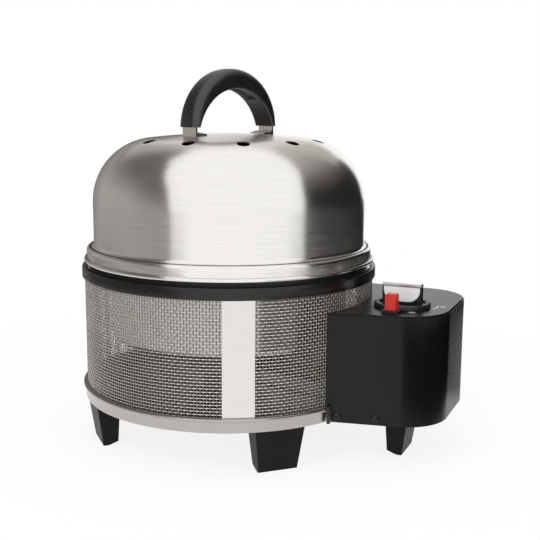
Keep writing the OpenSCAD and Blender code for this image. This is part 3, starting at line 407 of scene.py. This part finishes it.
def surface(name, colour, rough, metal=0.0, grain="even", scale=(300, 300, 300), tone=0.08, rough_vary=0.06,
            bump=0.0, specular=0.5, coat=0.0, aniso=0.0):
    """Principled surface whose colour, gloss and relief follow fine noise."""
    material = bpy.data.materials.new(name)
    material.use_nodes = True
    tree = material.node_tree
    shader = tree.nodes["Principled BSDF"]
    shader.inputs["Metallic"].default_value = metal
    shader.inputs["Specular IOR Level"].default_value = specular
    shader.inputs["Coat Weight"].default_value = coat
    shader.inputs["Anisotropic"].default_value = aniso
    shader.inputs["Anisotropic Rotation"].default_value = ANISO_TURN
    noise = node_of(tree, "ShaderNodeTexNoise", Scale=1.0, Detail=4.0, Roughness=0.6)
    tree.links.new(grain_vector(tree, grain, scale), noise.inputs["Vector"])
    ramp = node_of(tree, "ShaderNodeValToRGB")
    low, high = ramp.color_ramp.elements
    low.position = NOISE_LOW
    high.position = NOISE_HIGH
    low.color = [c * (1 - tone) for c in colour] + [1]
    high.color = [min(c * (1 + tone), 1) for c in colour] + [1]
    tree.links.new(noise.outputs["Fac"], ramp.inputs["Fac"])
    tree.links.new(ramp.outputs["Color"], shader.inputs["Base Color"])
    gloss = node_of(tree, "ShaderNodeMapRange")
    gloss.inputs["From Min"].default_value = NOISE_LOW
    gloss.inputs["From Max"].default_value = NOISE_HIGH
    gloss.inputs["To Min"].default_value = rough - rough_vary
    gloss.inputs["To Max"].default_value = rough + rough_vary
    tree.links.new(noise.outputs["Fac"], gloss.inputs["Value"])
    tree.links.new(gloss.outputs["Result"], shader.inputs["Roughness"])
    if bump:
        fine = noise
        if grain == "even":
            fine = node_of(tree, "ShaderNodeTexNoise", Scale=BUMP_SCALE, Detail=2.0)
            tree.links.new(node_of(tree, "ShaderNodeTexCoord").outputs["Object"], fine.inputs["Vector"])
        relief = node_of(tree, "ShaderNodeBump", Strength=bump, Distance=BUMP_DEPTH)
        tree.links.new(fine.outputs["Fac"], relief.inputs["Height"])
        tree.links.new(relief.outputs["Normal"], shader.inputs["Normal"])
    if aniso:
        tangent = node_of(tree, "ShaderNodeTangent", direction_type="RADIAL", axis="Z")
        tree.links.new(tangent.outputs["Tangent"], shader.inputs["Tangent"])
    return material


FINISHES = {
    "lid_steel": dict(colour=(0.90, 0.88, 0.855), rough=0.235, metal=1.0, grain="round", scale=(3, 1000),
                      tone=0.05, rough_vary=0.03, bump=0.02, aniso=0.74),
    "bright_steel": dict(colour=(0.80, 0.77, 0.74), rough=0.18, metal=1.0, grain="round", scale=(8, 1500),
                         tone=0.04, rough_vary=0.05, bump=0.04),
    "ring_steel": dict(colour=(0.51, 0.48, 0.455), rough=0.3, metal=1.0, grain="round", scale=(6, 2600),
                       tone=0.05, rough_vary=0.05, bump=0.05, aniso=0.4),
    "mesh_wire": dict(colour=(0.95, 0.89, 0.84), rough=0.26, metal=1.0, scale=(400, 400, 400), bump=0.05),
    "band_black": dict(colour=(0.005, 0.005, 0.0048), rough=0.26, tone=0.15, bump=0.02),
    "box_black": dict(colour=(0.0055, 0.005, 0.0042), rough=0.28, tone=0.15, rough_vary=0.015, specular=0.26),
    "foot_plastic": dict(colour=(0.006, 0.0057, 0.0058), rough=0.46, tone=0.12, bump=0.1, specular=0.17),
    "grip_plastic": dict(colour=(0.006, 0.0054, 0.0055), rough=0.36, tone=0.12, bump=0.05, specular=1.0),
    "plate_coating": dict(colour=(0.018, 0.018, 0.019), rough=0.42, scale=(700, 700, 700), tone=0.3,
                          bump=0.2),
    "burner_steel": dict(colour=(0.15, 0.147, 0.143), rough=0.45, metal=1.0, scale=(120, 120, 120), tone=0.15,
                         bump=0.1),
    "gas_brass": dict(colour=(0.62, 0.44, 0.17), rough=0.33, metal=1.0, scale=(200, 200, 200), tone=0.12,
                      bump=0.05),
    "red_plastic": dict(colour=(0.58, 0.02, 0.016), rough=0.35, tone=0.06, bump=0.05, specular=0.4),
    "knob_plastic": dict(colour=(0.01, 0.0095, 0.0095), rough=0.36, tone=0.12, bump=0.06, specular=0.4),
    "bezel_plastic": dict(colour=(0.014, 0.0135, 0.0135), rough=0.4, tone=0.12, bump=0.08, specular=0.4),
    # Painted reflection: the chrome plate and bar top are near-white and barely metallic, standing in for the
    # white studio they reflect
    "knob_chrome": dict(colour=(0.97, 0.97, 0.965), rough=0.38, metal=0.1, scale=(60, 2500, 2500), tone=0.03,
                        rough_vary=0.04, specular=1.0),
    "screw_metal": dict(colour=(0.05, 0.05, 0.05), rough=0.36, metal=1.0, scale=(500, 500, 500), tone=0.15,
                        bump=0.1),
    "bracket_metal": dict(colour=(0.03, 0.03, 0.029), rough=0.4, tone=0.12, bump=0.1, specular=0.4),
    "lead_rubber": dict(colour=(0.016, 0.016, 0.016), rough=0.6, tone=0.15, bump=0.15),
    "ceramic": dict(colour=(0.78, 0.77, 0.72), rough=0.3, tone=0.04, bump=0.05, coat=0.3),
    "cartridge_coat": dict(colour=(0.72, 0.72, 0.70), rough=0.32, tone=0.04, bump=0.05, coat=0.2),
    # Painted shade: near-black steel for the lid's inside and its vent walls, where the real steel only lies
    # in shade
    "lid_painted_shade": dict(colour=(0.05, 0.048, 0.045), rough=0.5, metal=1.0, grain="round", scale=(5, 900),
                       tone=0.2, rough_vary=0.08, bump=0.05),
    # Painted light: the bowl's outside is the same steel, its tone set for the light seen through the woven
    # wall
    "bowl_painted_light": dict(colour=(0.82, 0.775, 0.735), rough=0.18, metal=1.0, grain="round", scale=(6, 900),
                         rough_vary=0.05, bump=0.05),
    # Painted shade: a darker copy of the wire for the unlit inside of the woven wall
    "wire_painted_shade": dict(colour=(0.28, 0.265, 0.25), rough=0.4, metal=1.0, scale=(400, 400, 400), tone=0.1),
    # Painted shade: grey satin metal for the knob bar's sides, against its white top
    "bar_painted_shade": dict(colour=(0.56, 0.56, 0.55), rough=0.3, metal=1.0, scale=(60, 2500, 2500), tone=0.06,
                      rough_vary=0.04),
    "mark_paint": dict(colour=(0.75, 0.75, 0.74), rough=0.5, tone=0.05),
}
MATERIALS = {name: surface(name, **finish) for name, finish in FINISHES.items()}

SLOT_NODES = {
    "lid_steel": ["lid_dome"],
    "bright_steel": [*BOWL_NODES, "name_plate", "near_handle_bracket", "far_handle_bracket", "bracket_rivets",
                     "valve_spindle"],
    "ring_steel": ["base_ring"],
    "mesh_wire": ["mesh_wall"],
    "band_black": ["rim_band"],
    "box_black": ["gas_box", "gas_box_cover"],
    "foot_plastic": [*FEET, "cartridge_cradle"],
    "grip_plastic": ["handle_grip"],
    "plate_coating": ["grill_plate"],
    "burner_steel": ["base_pan", "burner_stand", "burner_body", "burner_cap", "mixing_tube"],
    "gas_brass": ["jet_holder", "gas_pipe", "feed_pipe", "valve_body", "cartridge_nozzle"],
    "red_plastic": ["igniter_button"],
    "knob_plastic": ["control_knob"],
    "bezel_plastic": ["bezel_ring"],
    "knob_chrome": ["knob_plate", "knob_bar"],
    "screw_metal": ["foot_screws", "box_foot_screws", "box_screws", "bracket_screws", "grip_screws",
                    "knob_rivets"],
    "bracket_metal": ["box_bracket", "ring_clips", "cartridge_coupling"],
    "lead_rubber": ["ignition_lead"],
    "ceramic": ["electrode", "piezo_igniter"],
    "cartridge_coat": ["gas_cartridge"],
}
SLOT_OF = {node: slot for slot, nodes in SLOT_NODES.items() for node in nodes}


def stand_for(obj, node, *others):
    """Shows an object in place of CAD nodes of one body and finish."""
    obj.data.materials.clear()
    obj.data.materials.append(MATERIALS[SLOT_OF[node]])
    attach(obj, BODY_OF[node])
    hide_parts(node, *others)
    return obj


def paint(obj, finish, chosen):
    """Gives a second finish to the faces that a test chooses."""
    obj.data.materials.append(MATERIALS[finish])
    for face in obj.data.polygons:
        face.material_index = int(chosen(face))


# Pieces
def build_lid():
    """Domed lid with a beaded skirt, a step and a ring of vents; painted shade, a dark finish, inside it and
    in the vents.
    """
    step_r = LID_STEP / 2
    bead_r = BEAD_H / 2
    bead_top = LID_LOW.z + BEAD_H
    outer = (
        arc(LID_SKIRT_R + BEAD_OUT - bead_r, LID_LOW.z + bead_r, bead_r, -90, 90, 14)
        + [(LID_SKIRT_R + BEAD_NECK, bead_top), (LID_SKIRT_R, bead_top + BEAD_NECK_H)]
        + arc(LID_SKIRT_R - step_r, LID_SEAT_Z, step_r, 0, 90, 10)
        + arc(LID_R + step_r, LID_SEAT_Z + LID_STEP, step_r, 270, 180, 10)
        + arc(SHOULDER_X, LID_ARCH_Z, SHOULDER_R, 0, CROWN_ANGLE, 56)
        + arc(0, CROWN_Z, CROWN_R, CROWN_ANGLE, 90, 14)[:-1]
        + [(0, CROWN_Z + CROWN_R)])
    inner = (
        [(0, CROWN_Z + CROWN_R - SHEET)]
        + arc(0, CROWN_Z, CROWN_R - SHEET, 90, CROWN_ANGLE, 14)[1:]
        + arc(SHOULDER_X, LID_ARCH_Z, SHOULDER_R - SHEET, CROWN_ANGLE, 0, 40)
        + [(LID_R - SHEET, LID_SEAT_Z), (LID_SKIRT_R - SHEET, LID_SEAT_Z), (LID_SKIRT_R - SHEET, LID_LOW.z)])
    shell = revolve("lid_shell", outer + inner)
    turns = [math.radians(VENT_ANGLE + 360 / VENT_COUNT * i) for i in range(VENT_COUNT)]
    places = [(VENT_CIRCLE * math.cos(turn), VENT_CIRCLE * math.sin(turn)) for turn in turns]
    vents = rods("vents", places, VENT_R, LID_ARCH_Z, LID_HIGH.z + CUT_PAST)
    lid = stand_for(cut(shell, vents), "lid_dome")
    middle = Vector((0, 0, LID_LOW.z * MM))

    # Inward faces and the vents' walls take painted shade, a dark finish in place of the shade that lies
    # there
    def in_painted_shade(face):
        inward = face.normal.dot(face.center - middle) < LID_INWARD * face.center.length
        in_vent = face.center.xy.length < VENT_REACH * MM and face.normal.z < VENT_STEEP
        return inward or in_vent

    paint(lid, "lid_painted_shade", in_painted_shade)


def build_band():
    """Black rim band with a groove for the woven wall and a ledge for the bowl."""
    low, top = BAND_LOW.z, BAND_HIGH.z
    groove_in, groove_out = MESH_IN - MESH_PLAY, MESH_OUT + MESH_PLAY
    groove_top = low + MESH_SEAT
    loop = (
        [(LEDGE_R, low), (groove_in, low), (groove_in, groove_top), (groove_out, groove_top),
         (groove_out, low)]
        + arc(BAND_R - BAND_EDGE, low + BAND_EDGE, BAND_EDGE, -90, 0, 8)
        + arc(BAND_R - BAND_EDGE, top - BAND_EDGE, BAND_EDGE, 0, 90, 8)
        + arc(SEAT_R + BAND_MOUTH, top - BAND_MOUTH, BAND_MOUTH, 90, 180, 4)
        + [(SEAT_R, LEDGE_Z), (LEDGE_R, LEDGE_Z)])
    stand_for(revolve("band_shell", loop), "rim_band")


def build_ring():
    """Steel base ring with a flange below and a rolled lip on top."""
    low, top = RING_LOW.z, RING_HIGH.z
    groove = MESH_OUT + MESH_PLAY
    groove_floor = top - MESH_SEAT
    loop = (
        [(RING_FLANGE_R, low)]
        + arc(RING_R - RING_EDGE, low + RING_EDGE, RING_EDGE, -90, 0, 5)
        + [(RING_R + out, top - down) for out, down in RING_SWEEP]
        + arc(RING_LIP_R - RING_EDGE, top - RING_EDGE - LIP_FACE, RING_EDGE, 0, 20, 2)
        + arc(RING_LIP_R - RING_EDGE, top - RING_EDGE, RING_EDGE, 20, 90, 5)
        + [(groove, top), (groove, groove_floor), (RING_IN, groove_floor), (RING_IN, low + SHEET),
           (RING_FLANGE_R, low + SHEET)])
    stand_for(revolve("ring_shell", loop), "base_ring")


def build_bowl():
    """Bowl with a flange, a moat and an open eye; its outside wall has a finish of its own, a lit copy of the
    bright steel as painted light for the view through the woven wall.
    """
    low, top, edge = BOWL_BOTTOM, FLANGE_HIGH.z, FLANGE_HIGH.x
    foot_x, foot_z = BOWL_R - BOWL_FOOT_R, low + BOWL_FOOT_R
    inner_turn = BOWL_TURN + SHEET
    loop = (
        [(edge, LEDGE_Z)]
        + arc(BOWL_R + BOWL_TURN, LEDGE_Z - BOWL_TURN, BOWL_TURN, 90, 180, 5)
        + arc(foot_x, foot_z, BOWL_FOOT_R, 0, -90, 14)
        + [(EYE_R + EYE_LEAN, low), (EYE_R, low + EYE_H), (EYE_R + SHEET, low + EYE_H),
           (EYE_R + EYE_LEAN + SHEET, low + SHEET)]
        + arc(foot_x, foot_z, BOWL_FOOT_R - SHEET, -90, 0, 14)
        + arc(BOWL_R + BOWL_TURN, top - inner_turn, inner_turn, 180, 90, 5)
        + [(edge, top)])
    bowl = stand_for(revolve("bowl_shell", loop), *BOWL_NODES)

    # The outside wall gets painted light, a tone set for the view through the woven wall's gaps
    def is_outside(face):
        out = Vector((face.center.x, face.center.y, 0)).normalized()
        return face.normal.dot(out) > BOWL_OUTWARD and face.center.xy.length > foot_x * MM

    paint(bowl, "bowl_painted_light", is_outside)


def tube_faces(lines, length, closed):
    """Faces of many tubes whose points run by line, place and side."""
    steps = length if closed else length - 1
    line, place, side = np.meshgrid(np.arange(lines), np.arange(steps), np.arange(WIRE_SIDES), indexing="ij")
    following = (place + 1) % length
    beside = (side + 1) % WIRE_SIDES

    def point(along, around):
        return (line * length + along) * WIRE_SIDES + around

    corners = [point(place, side), point(following, side), point(following, beside), point(place, beside)]
    return np.stack(corners, -1).reshape(-1, 4)


def weave_points():
    """Points of the uprights and of the rings, which pass over and under each other."""
    low = MESH_LOW.z
    pitch = (MESH_HIGH.z - low) / WIRE_RINGS
    step = 2 * math.pi / WIRE_UP
    middle = (MESH_IN + MESH_OUT) / 2
    sides = 2 * math.pi * np.arange(WIRE_SIDES) / WIRE_SIDES
    wire, place, side = np.meshgrid(np.arange(WIRE_UP), np.arange(2 * WIRE_RINGS + 1), sides, indexing="ij")
    radius = middle + WIRE_WAVE * np.cos(math.pi * (place / 2 - 0.5 + wire)) + WIRE_R * np.cos(side)
    angle = step * wire + WIRE_R * np.sin(side) / middle
    height = low + pitch * place / 2
    uprights = np.stack([radius * np.cos(angle), radius * np.sin(angle), height], -1).reshape(-1, 3)
    ring, place, side = np.meshgrid(np.arange(WIRE_RINGS), np.arange(2 * WIRE_UP), sides, indexing="ij")
    radius = middle - WIRE_WAVE * np.cos(math.pi * (place / 2 + ring)) + WIRE_R * np.cos(side)
    angle = step * place / 2
    height = low + pitch * (ring + 0.5) + WIRE_R * np.sin(side)
    rings = np.stack([radius * np.cos(angle), radius * np.sin(angle), height], -1).reshape(-1, 3)
    return uprights, rings


def build_weave():
    """Woven wall with a port towards the side box; the wires' inward faces get painted shade, a darker
    finish.
    """
    uprights, rings = weave_points()
    points = np.concatenate([uprights, rings])
    faces = np.concatenate([tube_faces(WIRE_UP, 2 * WIRE_RINGS + 1, False),
                            tube_faces(WIRE_RINGS, 2 * WIRE_UP, True) + len(uprights)])
    centre = points[faces].mean(1)
    turn = math.radians(PORT_ANGLE)
    across = centre[:, 1] * math.cos(turn) - centre[:, 0] * math.sin(turn)
    ahead = centre[:, 0] * math.cos(turn) + centre[:, 1] * math.sin(turn)
    port = (np.hypot(across, centre[:, 2] - PORT_Z) < PORT_R) & (ahead > 0)
    faces = faces[~port]
    mesh = bpy.data.meshes.new("woven_wall")
    mesh.vertices.add(len(points))
    mesh.vertices.foreach_set("co", (points * MM).ravel())
    mesh.loops.add(faces.size)
    mesh.loops.foreach_set("vertex_index", faces.ravel())
    mesh.polygons.add(len(faces))
    mesh.polygons.foreach_set("loop_start", np.arange(0, faces.size, 4))
    mesh.update(calc_edges=True)
    wall = stand_for(link("woven_wall", mesh, WIRE_SHARP), "mesh_wall")
    # Inward faces of the wires take painted shade, a darker finish for the unlit inside of the wall
    paint(wall, "wire_painted_shade", lambda face: face.normal.xy.dot(face.center.xy) < 0)


def build_name_plate():
    """Plain curved plate on the woven wall, between the ring and the band."""
    half = math.degrees(math.asin(PLATE_W / 2 / MESH_OUT))
    inner = MESH_OUT + PLATE_GAP
    outer = inner + PLATE_T
    low, top = RING_HIGH.z, BAND_LOW.z
    section = ((inner, low), (outer, low), (outer, top), (inner, top))
    rows = []
    for turn in np.radians(np.linspace(PLATE_ANGLE - half, PLATE_ANGLE + half, 25)):
        rows.append([(r * math.cos(turn), r * math.sin(turn), z) for r, z in section])
    plate = skin("plain_plate", rows, PLATE_SHARP)
    stand_for(round_edges(plate, PLATE_EDGE, 3, PLATE_SHARP), "name_plate")


def grip_section(turn):
    """Section of the grip at an angle round its centre: (radius, side) pairs."""
    inner = -GRIP_DROP * math.sin(turn) + math.sqrt(GRIP_OPEN_R ** 2 - (GRIP_DROP * math.cos(turn)) ** 2)
    edge = min(GRIP_EDGE, (GRIP_R - inner) / 3)
    base = GRIP_R - GRIP_ROLL
    rise = GRIP_ROLL + GRIP_CROWN
    start = max(inner + edge, base)
    limit = math.acos(min(((start - base) / rise) ** (1 / GRIP_FULL), 1))
    crown = []
    for lean in np.linspace(-limit, limit, 41):
        y = GRIP_HALF * math.copysign(abs(math.sin(lean)) ** GRIP_FULL, lean)
        crown.append((base + rise * max(math.cos(lean), 0) ** GRIP_FULL, y))
    side = crown[-1][1]
    depth = CHANNEL_D if abs(inner * math.cos(turn)) < CHANNEL_REACH else 0
    half = []
    for lean in np.radians(np.linspace(0, 90, 7)):
        half.append((inner + edge - edge * math.sin(lean), side - edge + edge * math.cos(lean)))
    half += [(inner, CHANNEL_HALF + CHANNEL_SLOPE), (inner + depth * CHANNEL_SHOULDER, CHANNEL_HALF),
             (inner + depth, CHANNEL_HALF - CHANNEL_SLOPE)]
    return crown + half + [(r, -y) for r, y in reversed(half)]


def build_grip():
    """Arched grip with a crowned back and a channel along its inside."""
    rows = []
    across = math.radians(GRIP_ANGLE)
    for turn in np.radians(np.linspace(GRIP_START, 180 - GRIP_START, 97)):
        row = []
        for r, y in grip_section(turn):
            along = r * math.cos(turn)
            row.append((along * math.cos(across) - y * math.sin(across),
                        along * math.sin(across) + y * math.cos(across),
                        GRIP_Z + r * math.sin(turn)))
        rows.append(row)
    grip = skin("soft_grip", rows, GRIP_SHARP)
    stand_for(round_edges(grip, GRIP_END_EDGE, 3, GRIP_SHARP), "handle_grip")


def strip(name, path, width):
    """Flat painted stroke along a path of (x, y) points, with a width at each end."""
    path = [Vector(point) for point in path]
    last = len(path) - 1
    rows = []
    for i, point in enumerate(path):
        run = (path[min(i + 1, last)] - path[max(i - 1, 0)]).normalized()
        wide = width[0] + (width[1] - width[0]) * i / last
        off = Vector((-run.y, run.x)) * wide / 2
        near, far = point - off, point + off
        rows.append([(*near, MARK_LOW), (*far, MARK_LOW), (*far, MARK_HIGH), (*near, MARK_HIGH)])
    return skin(name, rows)


def build_marks():
    """Plain white marks on the cover: a stroke that widens, a bar at its end and a small star."""
    turns = np.radians(np.linspace(*SWELL_ANGLES, SWELL_STEPS))
    radii = np.linspace(*SWELL_R, SWELL_STEPS)
    swell = [(KNOB_X + r * math.cos(turn), KNOB_Y + r * math.sin(turn)) for r, turn in zip(radii, turns)]
    bar = [(KNOB_X + x, KNOB_Y + y) for x, y in BAR_ENDS]
    star = Vector((KNOB_X + STAR_AT[0], KNOB_Y + STAR_AT[1]))
    pieces = [strip("swell_mark", swell, SWELL_W), strip("full_mark", bar, BAR_W)]
    for n, turn in enumerate(np.radians(STAR_ANGLES)):
        reach = Vector((math.cos(turn), math.sin(turn))) * STAR_REACH
        pieces.append(strip(f"star_mark_{n}", [star - reach, star, star + reach], STAR_W))
    for piece in pieces:
        piece.data.materials.append(MATERIALS["mark_paint"])
        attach(piece, BODY_OF["gas_box_cover"])


def build_rest():
    """Rounded copies of the nodes that have no shell of their own; the bar's sides get a grey satin finish as
    painted shade and its top the near-white one as a painted highlight.
    """
    shelled = {"lid_dome", "rim_band", "base_ring", "mesh_wall", "name_plate", "handle_grip", *BOWL_NODES}
    for name in frame["nodes"]:
        if name in shelled:
            continue
        piece = stand_for(dress(name, EDGES.get(name, FINE_EDGE)), name)
        # The bar's top keeps the near-white finish as a painted highlight and its sides turn grey as painted
        # shade
        if name == "knob_bar":
            paint(piece, "bar_painted_shade", lambda face: face.normal.z < BAR_UPWARD)


build_lid()
build_band()
build_ring()
build_bowl()
build_weave()
build_name_plate()
build_grip()
build_marks()
build_rest()

# Stage, light and camera, in metres
CAMERA_AT = AXIS + Vector((0.4461, -0.9460, 0.36195))
CAMERA_TURN = 22.8
CAMERA_TILT = 80.03
CAMERA_ROLL = 0.359
CAMERA_LENS = 63.96
CAMERA_SENSOR = 36
VIEW_ANGLE = math.degrees(math.atan2(CAMERA_AT.y, CAMERA_AT.x - BODY_X))
CARD_R = 0.8
EDGE_CARD_R = 0.79
BOX_CARD_R = 0.37
CARD_TINT = (1, 0.95, 0.9, 1)
WORLD_LEVEL = 0.6
FLOOR_HALF = 6000
FLOOR_COLOUR = (0.9, 0.9, 0.9, 1)
# Distances over which the floor turns white, and its white share at each
FLOOR_FADE = {"From Min": 0.15, "From Max": 0.7, "To Min": 0.86, "To Max": 1.0}


def card(name, radius, rows):
    """Curved card round the set that only reflections see.

    Each row gives a height in degrees, the card's two ends there as angles from the view's direction, and its
    grey at each end.
    """
    points, faces, greys = [], [], []
    across, up = 24, 32
    rows = np.array(rows, float)
    for height in np.linspace(rows[0, 0], rows[-1, 0], up + 1):
        first, last, grey_first, grey_last = (np.interp(height, rows[:, 0], rows[:, k]) for k in range(1, 5))
        greys += list(np.linspace(grey_first, grey_last, across + 1))
        rise = math.radians(height)
        for turn in np.radians(np.linspace(first, last, across + 1) + VIEW_ANGLE):
            flat = math.cos(rise)
            aim = Vector((math.cos(turn) * flat, math.sin(turn) * flat, math.sin(rise)))
            points.append(aim * radius / MM)
    for i in range(up):
        for k in range(across):
            corner = i * (across + 1) + k
            faces.append([corner, corner + 1, corner + across + 2, corner + across + 1])
    obj = make(name, points, faces)
    shade = obj.data.attributes.new("shade", "FLOAT", "POINT")
    shade.data.foreach_set("value", greys)
    material = bpy.data.materials.new(name)
    material.use_nodes = True
    tree = material.node_tree
    tree.nodes.clear()
    glow = node_of(tree, "ShaderNodeEmission", Color=CARD_TINT)
    tree.links.new(glow.outputs[0], node_of(tree, "ShaderNodeOutputMaterial").inputs[0])
    grey = node_of(tree, "ShaderNodeAttribute", attribute_name="shade")
    tree.links.new(grey.outputs["Fac"], glow.inputs["Strength"])
    obj.data.materials.append(material)
    obj.visible_camera = False
    obj.visible_diffuse = False
    obj.visible_shadow = False


def shown_ray(tree):
    """Socket that is 1 for rays from the camera, from reflections and through glass."""
    path = node_of(tree, "ShaderNodeLightPath")
    seen = math_of(tree, "MAXIMUM", path.outputs["Is Camera Ray"], path.outputs["Is Glossy Ray"])
    return math_of(tree, "MAXIMUM", seen, path.outputs["Is Transmission Ray"])


def build_floor():
    """Pale floor that keeps a soft shadow and shows white to the camera and to reflections."""
    half = FLOOR_HALF
    corners = [(-half, -half, 0), (half, -half, 0), (half, half, 0), (-half, half, 0)]
    floor = make("floor", corners, [[0, 1, 2, 3]])
    material = bpy.data.materials.new("floor_paper")
    material.use_nodes = True
    tree = material.node_tree
    paper = tree.nodes["Principled BSDF"]
    paper.inputs["Base Color"].default_value = FLOOR_COLOUR
    paper.inputs["Roughness"].default_value = 0.9
    paper.inputs["Specular IOR Level"].default_value = 0.0
    glow = node_of(tree, "ShaderNodeEmission")
    mix = node_of(tree, "ShaderNodeMixShader")
    reach = node_of(tree, "ShaderNodeVectorMath", operation="LENGTH")
    tree.links.new(node_of(tree, "ShaderNodeTexCoord").outputs["Object"], reach.inputs[0])
    share = node_of(tree, "ShaderNodeMapRange", **FLOOR_FADE)
    tree.links.new(reach.outputs["Value"], share.inputs["Value"])
    tree.links.new(math_of(tree, "MULTIPLY", shown_ray(tree), share.outputs["Result"]), mix.inputs["Fac"])
    tree.links.new(paper.outputs[0], mix.inputs[1])
    tree.links.new(glow.outputs[0], mix.inputs[2])
    tree.links.new(mix.outputs[0], tree.nodes["Material Output"].inputs[0])
    floor.data.materials.append(material)


def build_world():
    """White for camera, reflections and glass; a plain level for everything else."""
    world = bpy.data.worlds.new("studio")
    bpy.context.scene.world = world
    world.use_nodes = True
    tree = world.node_tree
    sky = tree.nodes["Background"]
    sky.inputs["Color"].default_value = (1, 1, 1, 1)
    level = node_of(tree, "ShaderNodeMapRange")
    level.inputs["To Min"].default_value = WORLD_LEVEL
    level.inputs["To Max"].default_value = 1.0
    tree.links.new(shown_ray(tree), level.inputs["Value"])
    tree.links.new(level.outputs["Result"], sky.inputs["Strength"])


def lamp(name, place, target, size, watts):
    """Rectangular lamp that reflections don't show."""
    data = bpy.data.lights.new(name, "AREA")
    data.shape = "RECTANGLE"
    data.size, data.size_y = size
    data.energy = watts
    obj = bpy.data.objects.new(name, data)
    obj.location = place
    obj.rotation_euler = (Vector(target) - Vector(place)).to_track_quat("-Z", "Y").to_euler()
    obj.visible_glossy = False
    bpy.context.scene.collection.objects.link(obj)


def build_camera():
    """Camera at the photo's place and angle."""
    data = bpy.data.cameras.new("view")
    data.lens = CAMERA_LENS
    data.sensor_width = CAMERA_SENSOR
    data.clip_start = 0.05
    data.clip_end = 60
    camera = bpy.data.objects.new("view", data)
    turn = Matrix.Rotation(math.radians(CAMERA_TURN), 4, "Z")
    tilt = Matrix.Rotation(math.radians(CAMERA_TILT), 4, "X")
    roll = Matrix.Rotation(math.radians(CAMERA_ROLL), 4, "Z")
    camera.matrix_world = Matrix.Translation(CAMERA_AT) @ turn @ tilt @ roll
    bpy.context.scene.collection.objects.link(camera)
    bpy.context.scene.camera = camera


build_floor()
build_world()
build_camera()
card("right_card", CARD_R,
     ((-5, 74, 150, 0.1, 0.1), (4, 74, 150, 0.1, 0.1), (5, 45, 150, 0.02, 0.02), (7.6, 45, 150, 0.02, 0.02),
      (8.8, 57, 150, 0.015, 0.015), (13, 57, 150, 0.015, 0.015), (16, 57, 138, 0.015, 0.015),
      (35, 58, 138, 0.015, 0.02), (42, 60, 138, 0.06, 0.06), (46, 61, 120, 0.08, 0.1),
      (56, 70, 120, 0.24, 0.3), (66, 82, 120, 0.42, 0.42), (71, 102, 120, 0.44, 0.44),
      (76, 119, 120, 0.45, 0.45)))
card("left_far_card", CARD_R,
     ((-5, -172, -85, 0.14, 0.14), (7.5, -172, -85, 0.14, 0.14), (9.5, -172, -85, 0.38, 0.38),
      (28, -172, -85, 0.4, 0.39), (40, -172, -85, 0.27, 0.24), (45, -128, -85, 0.2, 0.16),
      (52, -128, -85, 0.15, 0.11), (66, -128, -85, 0.15, 0.13), (71, -128, -95, 0.2, 0.2),
      (76, -128, -127, 0.25, 0.25)))
card("left_near_card", CARD_R,
     ((-5, -85, -32, 0.14, 0.14), (7.5, -85, -32, 0.14, 0.14), (9, -85, -43, 0.38, 0.3),
      (22, -85, -44, 0.4, 0.24), (34, -85, -46, 0.3, 0.09), (46, -85, -51, 0.16, 0.1),
      (66, -85, -74, 0.13, 0.14)))
card("left_edge_card", EDGE_CARD_R, ((-5, -175, -126, 0.1, 0.34), (34, -175, -126, 0.1, 0.34)))
card("back_left_card", CARD_R, ((43, -158, -128, 0.5, 0.3), (72, -158, -128, 0.5, 0.3)))
card("back_right_card", CARD_R, ((43, 120, 158, 0.42, 0.55), (72, 120, 158, 0.45, 0.6)))
card("back_card", CARD_R, ((36, 158, 202, 0.7, 0.7), (72, 158, 202, 0.78, 0.78)))
card("box_card", BOX_CARD_R, ((0, 22, 104, 0, 0), (19, 22, 104, 0, 0)))
lamp("key", place=(-0.6, -1.9, 1.9), target=(0, 0, 0.2), size=(1.6, 1.2), watts=26)
lamp("fill", place=(1.8, -0.9, 1.2), target=(0.05, 0, 0.15), size=(1.0, 1.0), watts=7)
lamp("top", place=(0.0, 0.2, 2.4), target=(0, 0, 0), size=(1.8, 1.8), watts=16)
bpy.context.scene.view_settings.view_transform = "Standard"
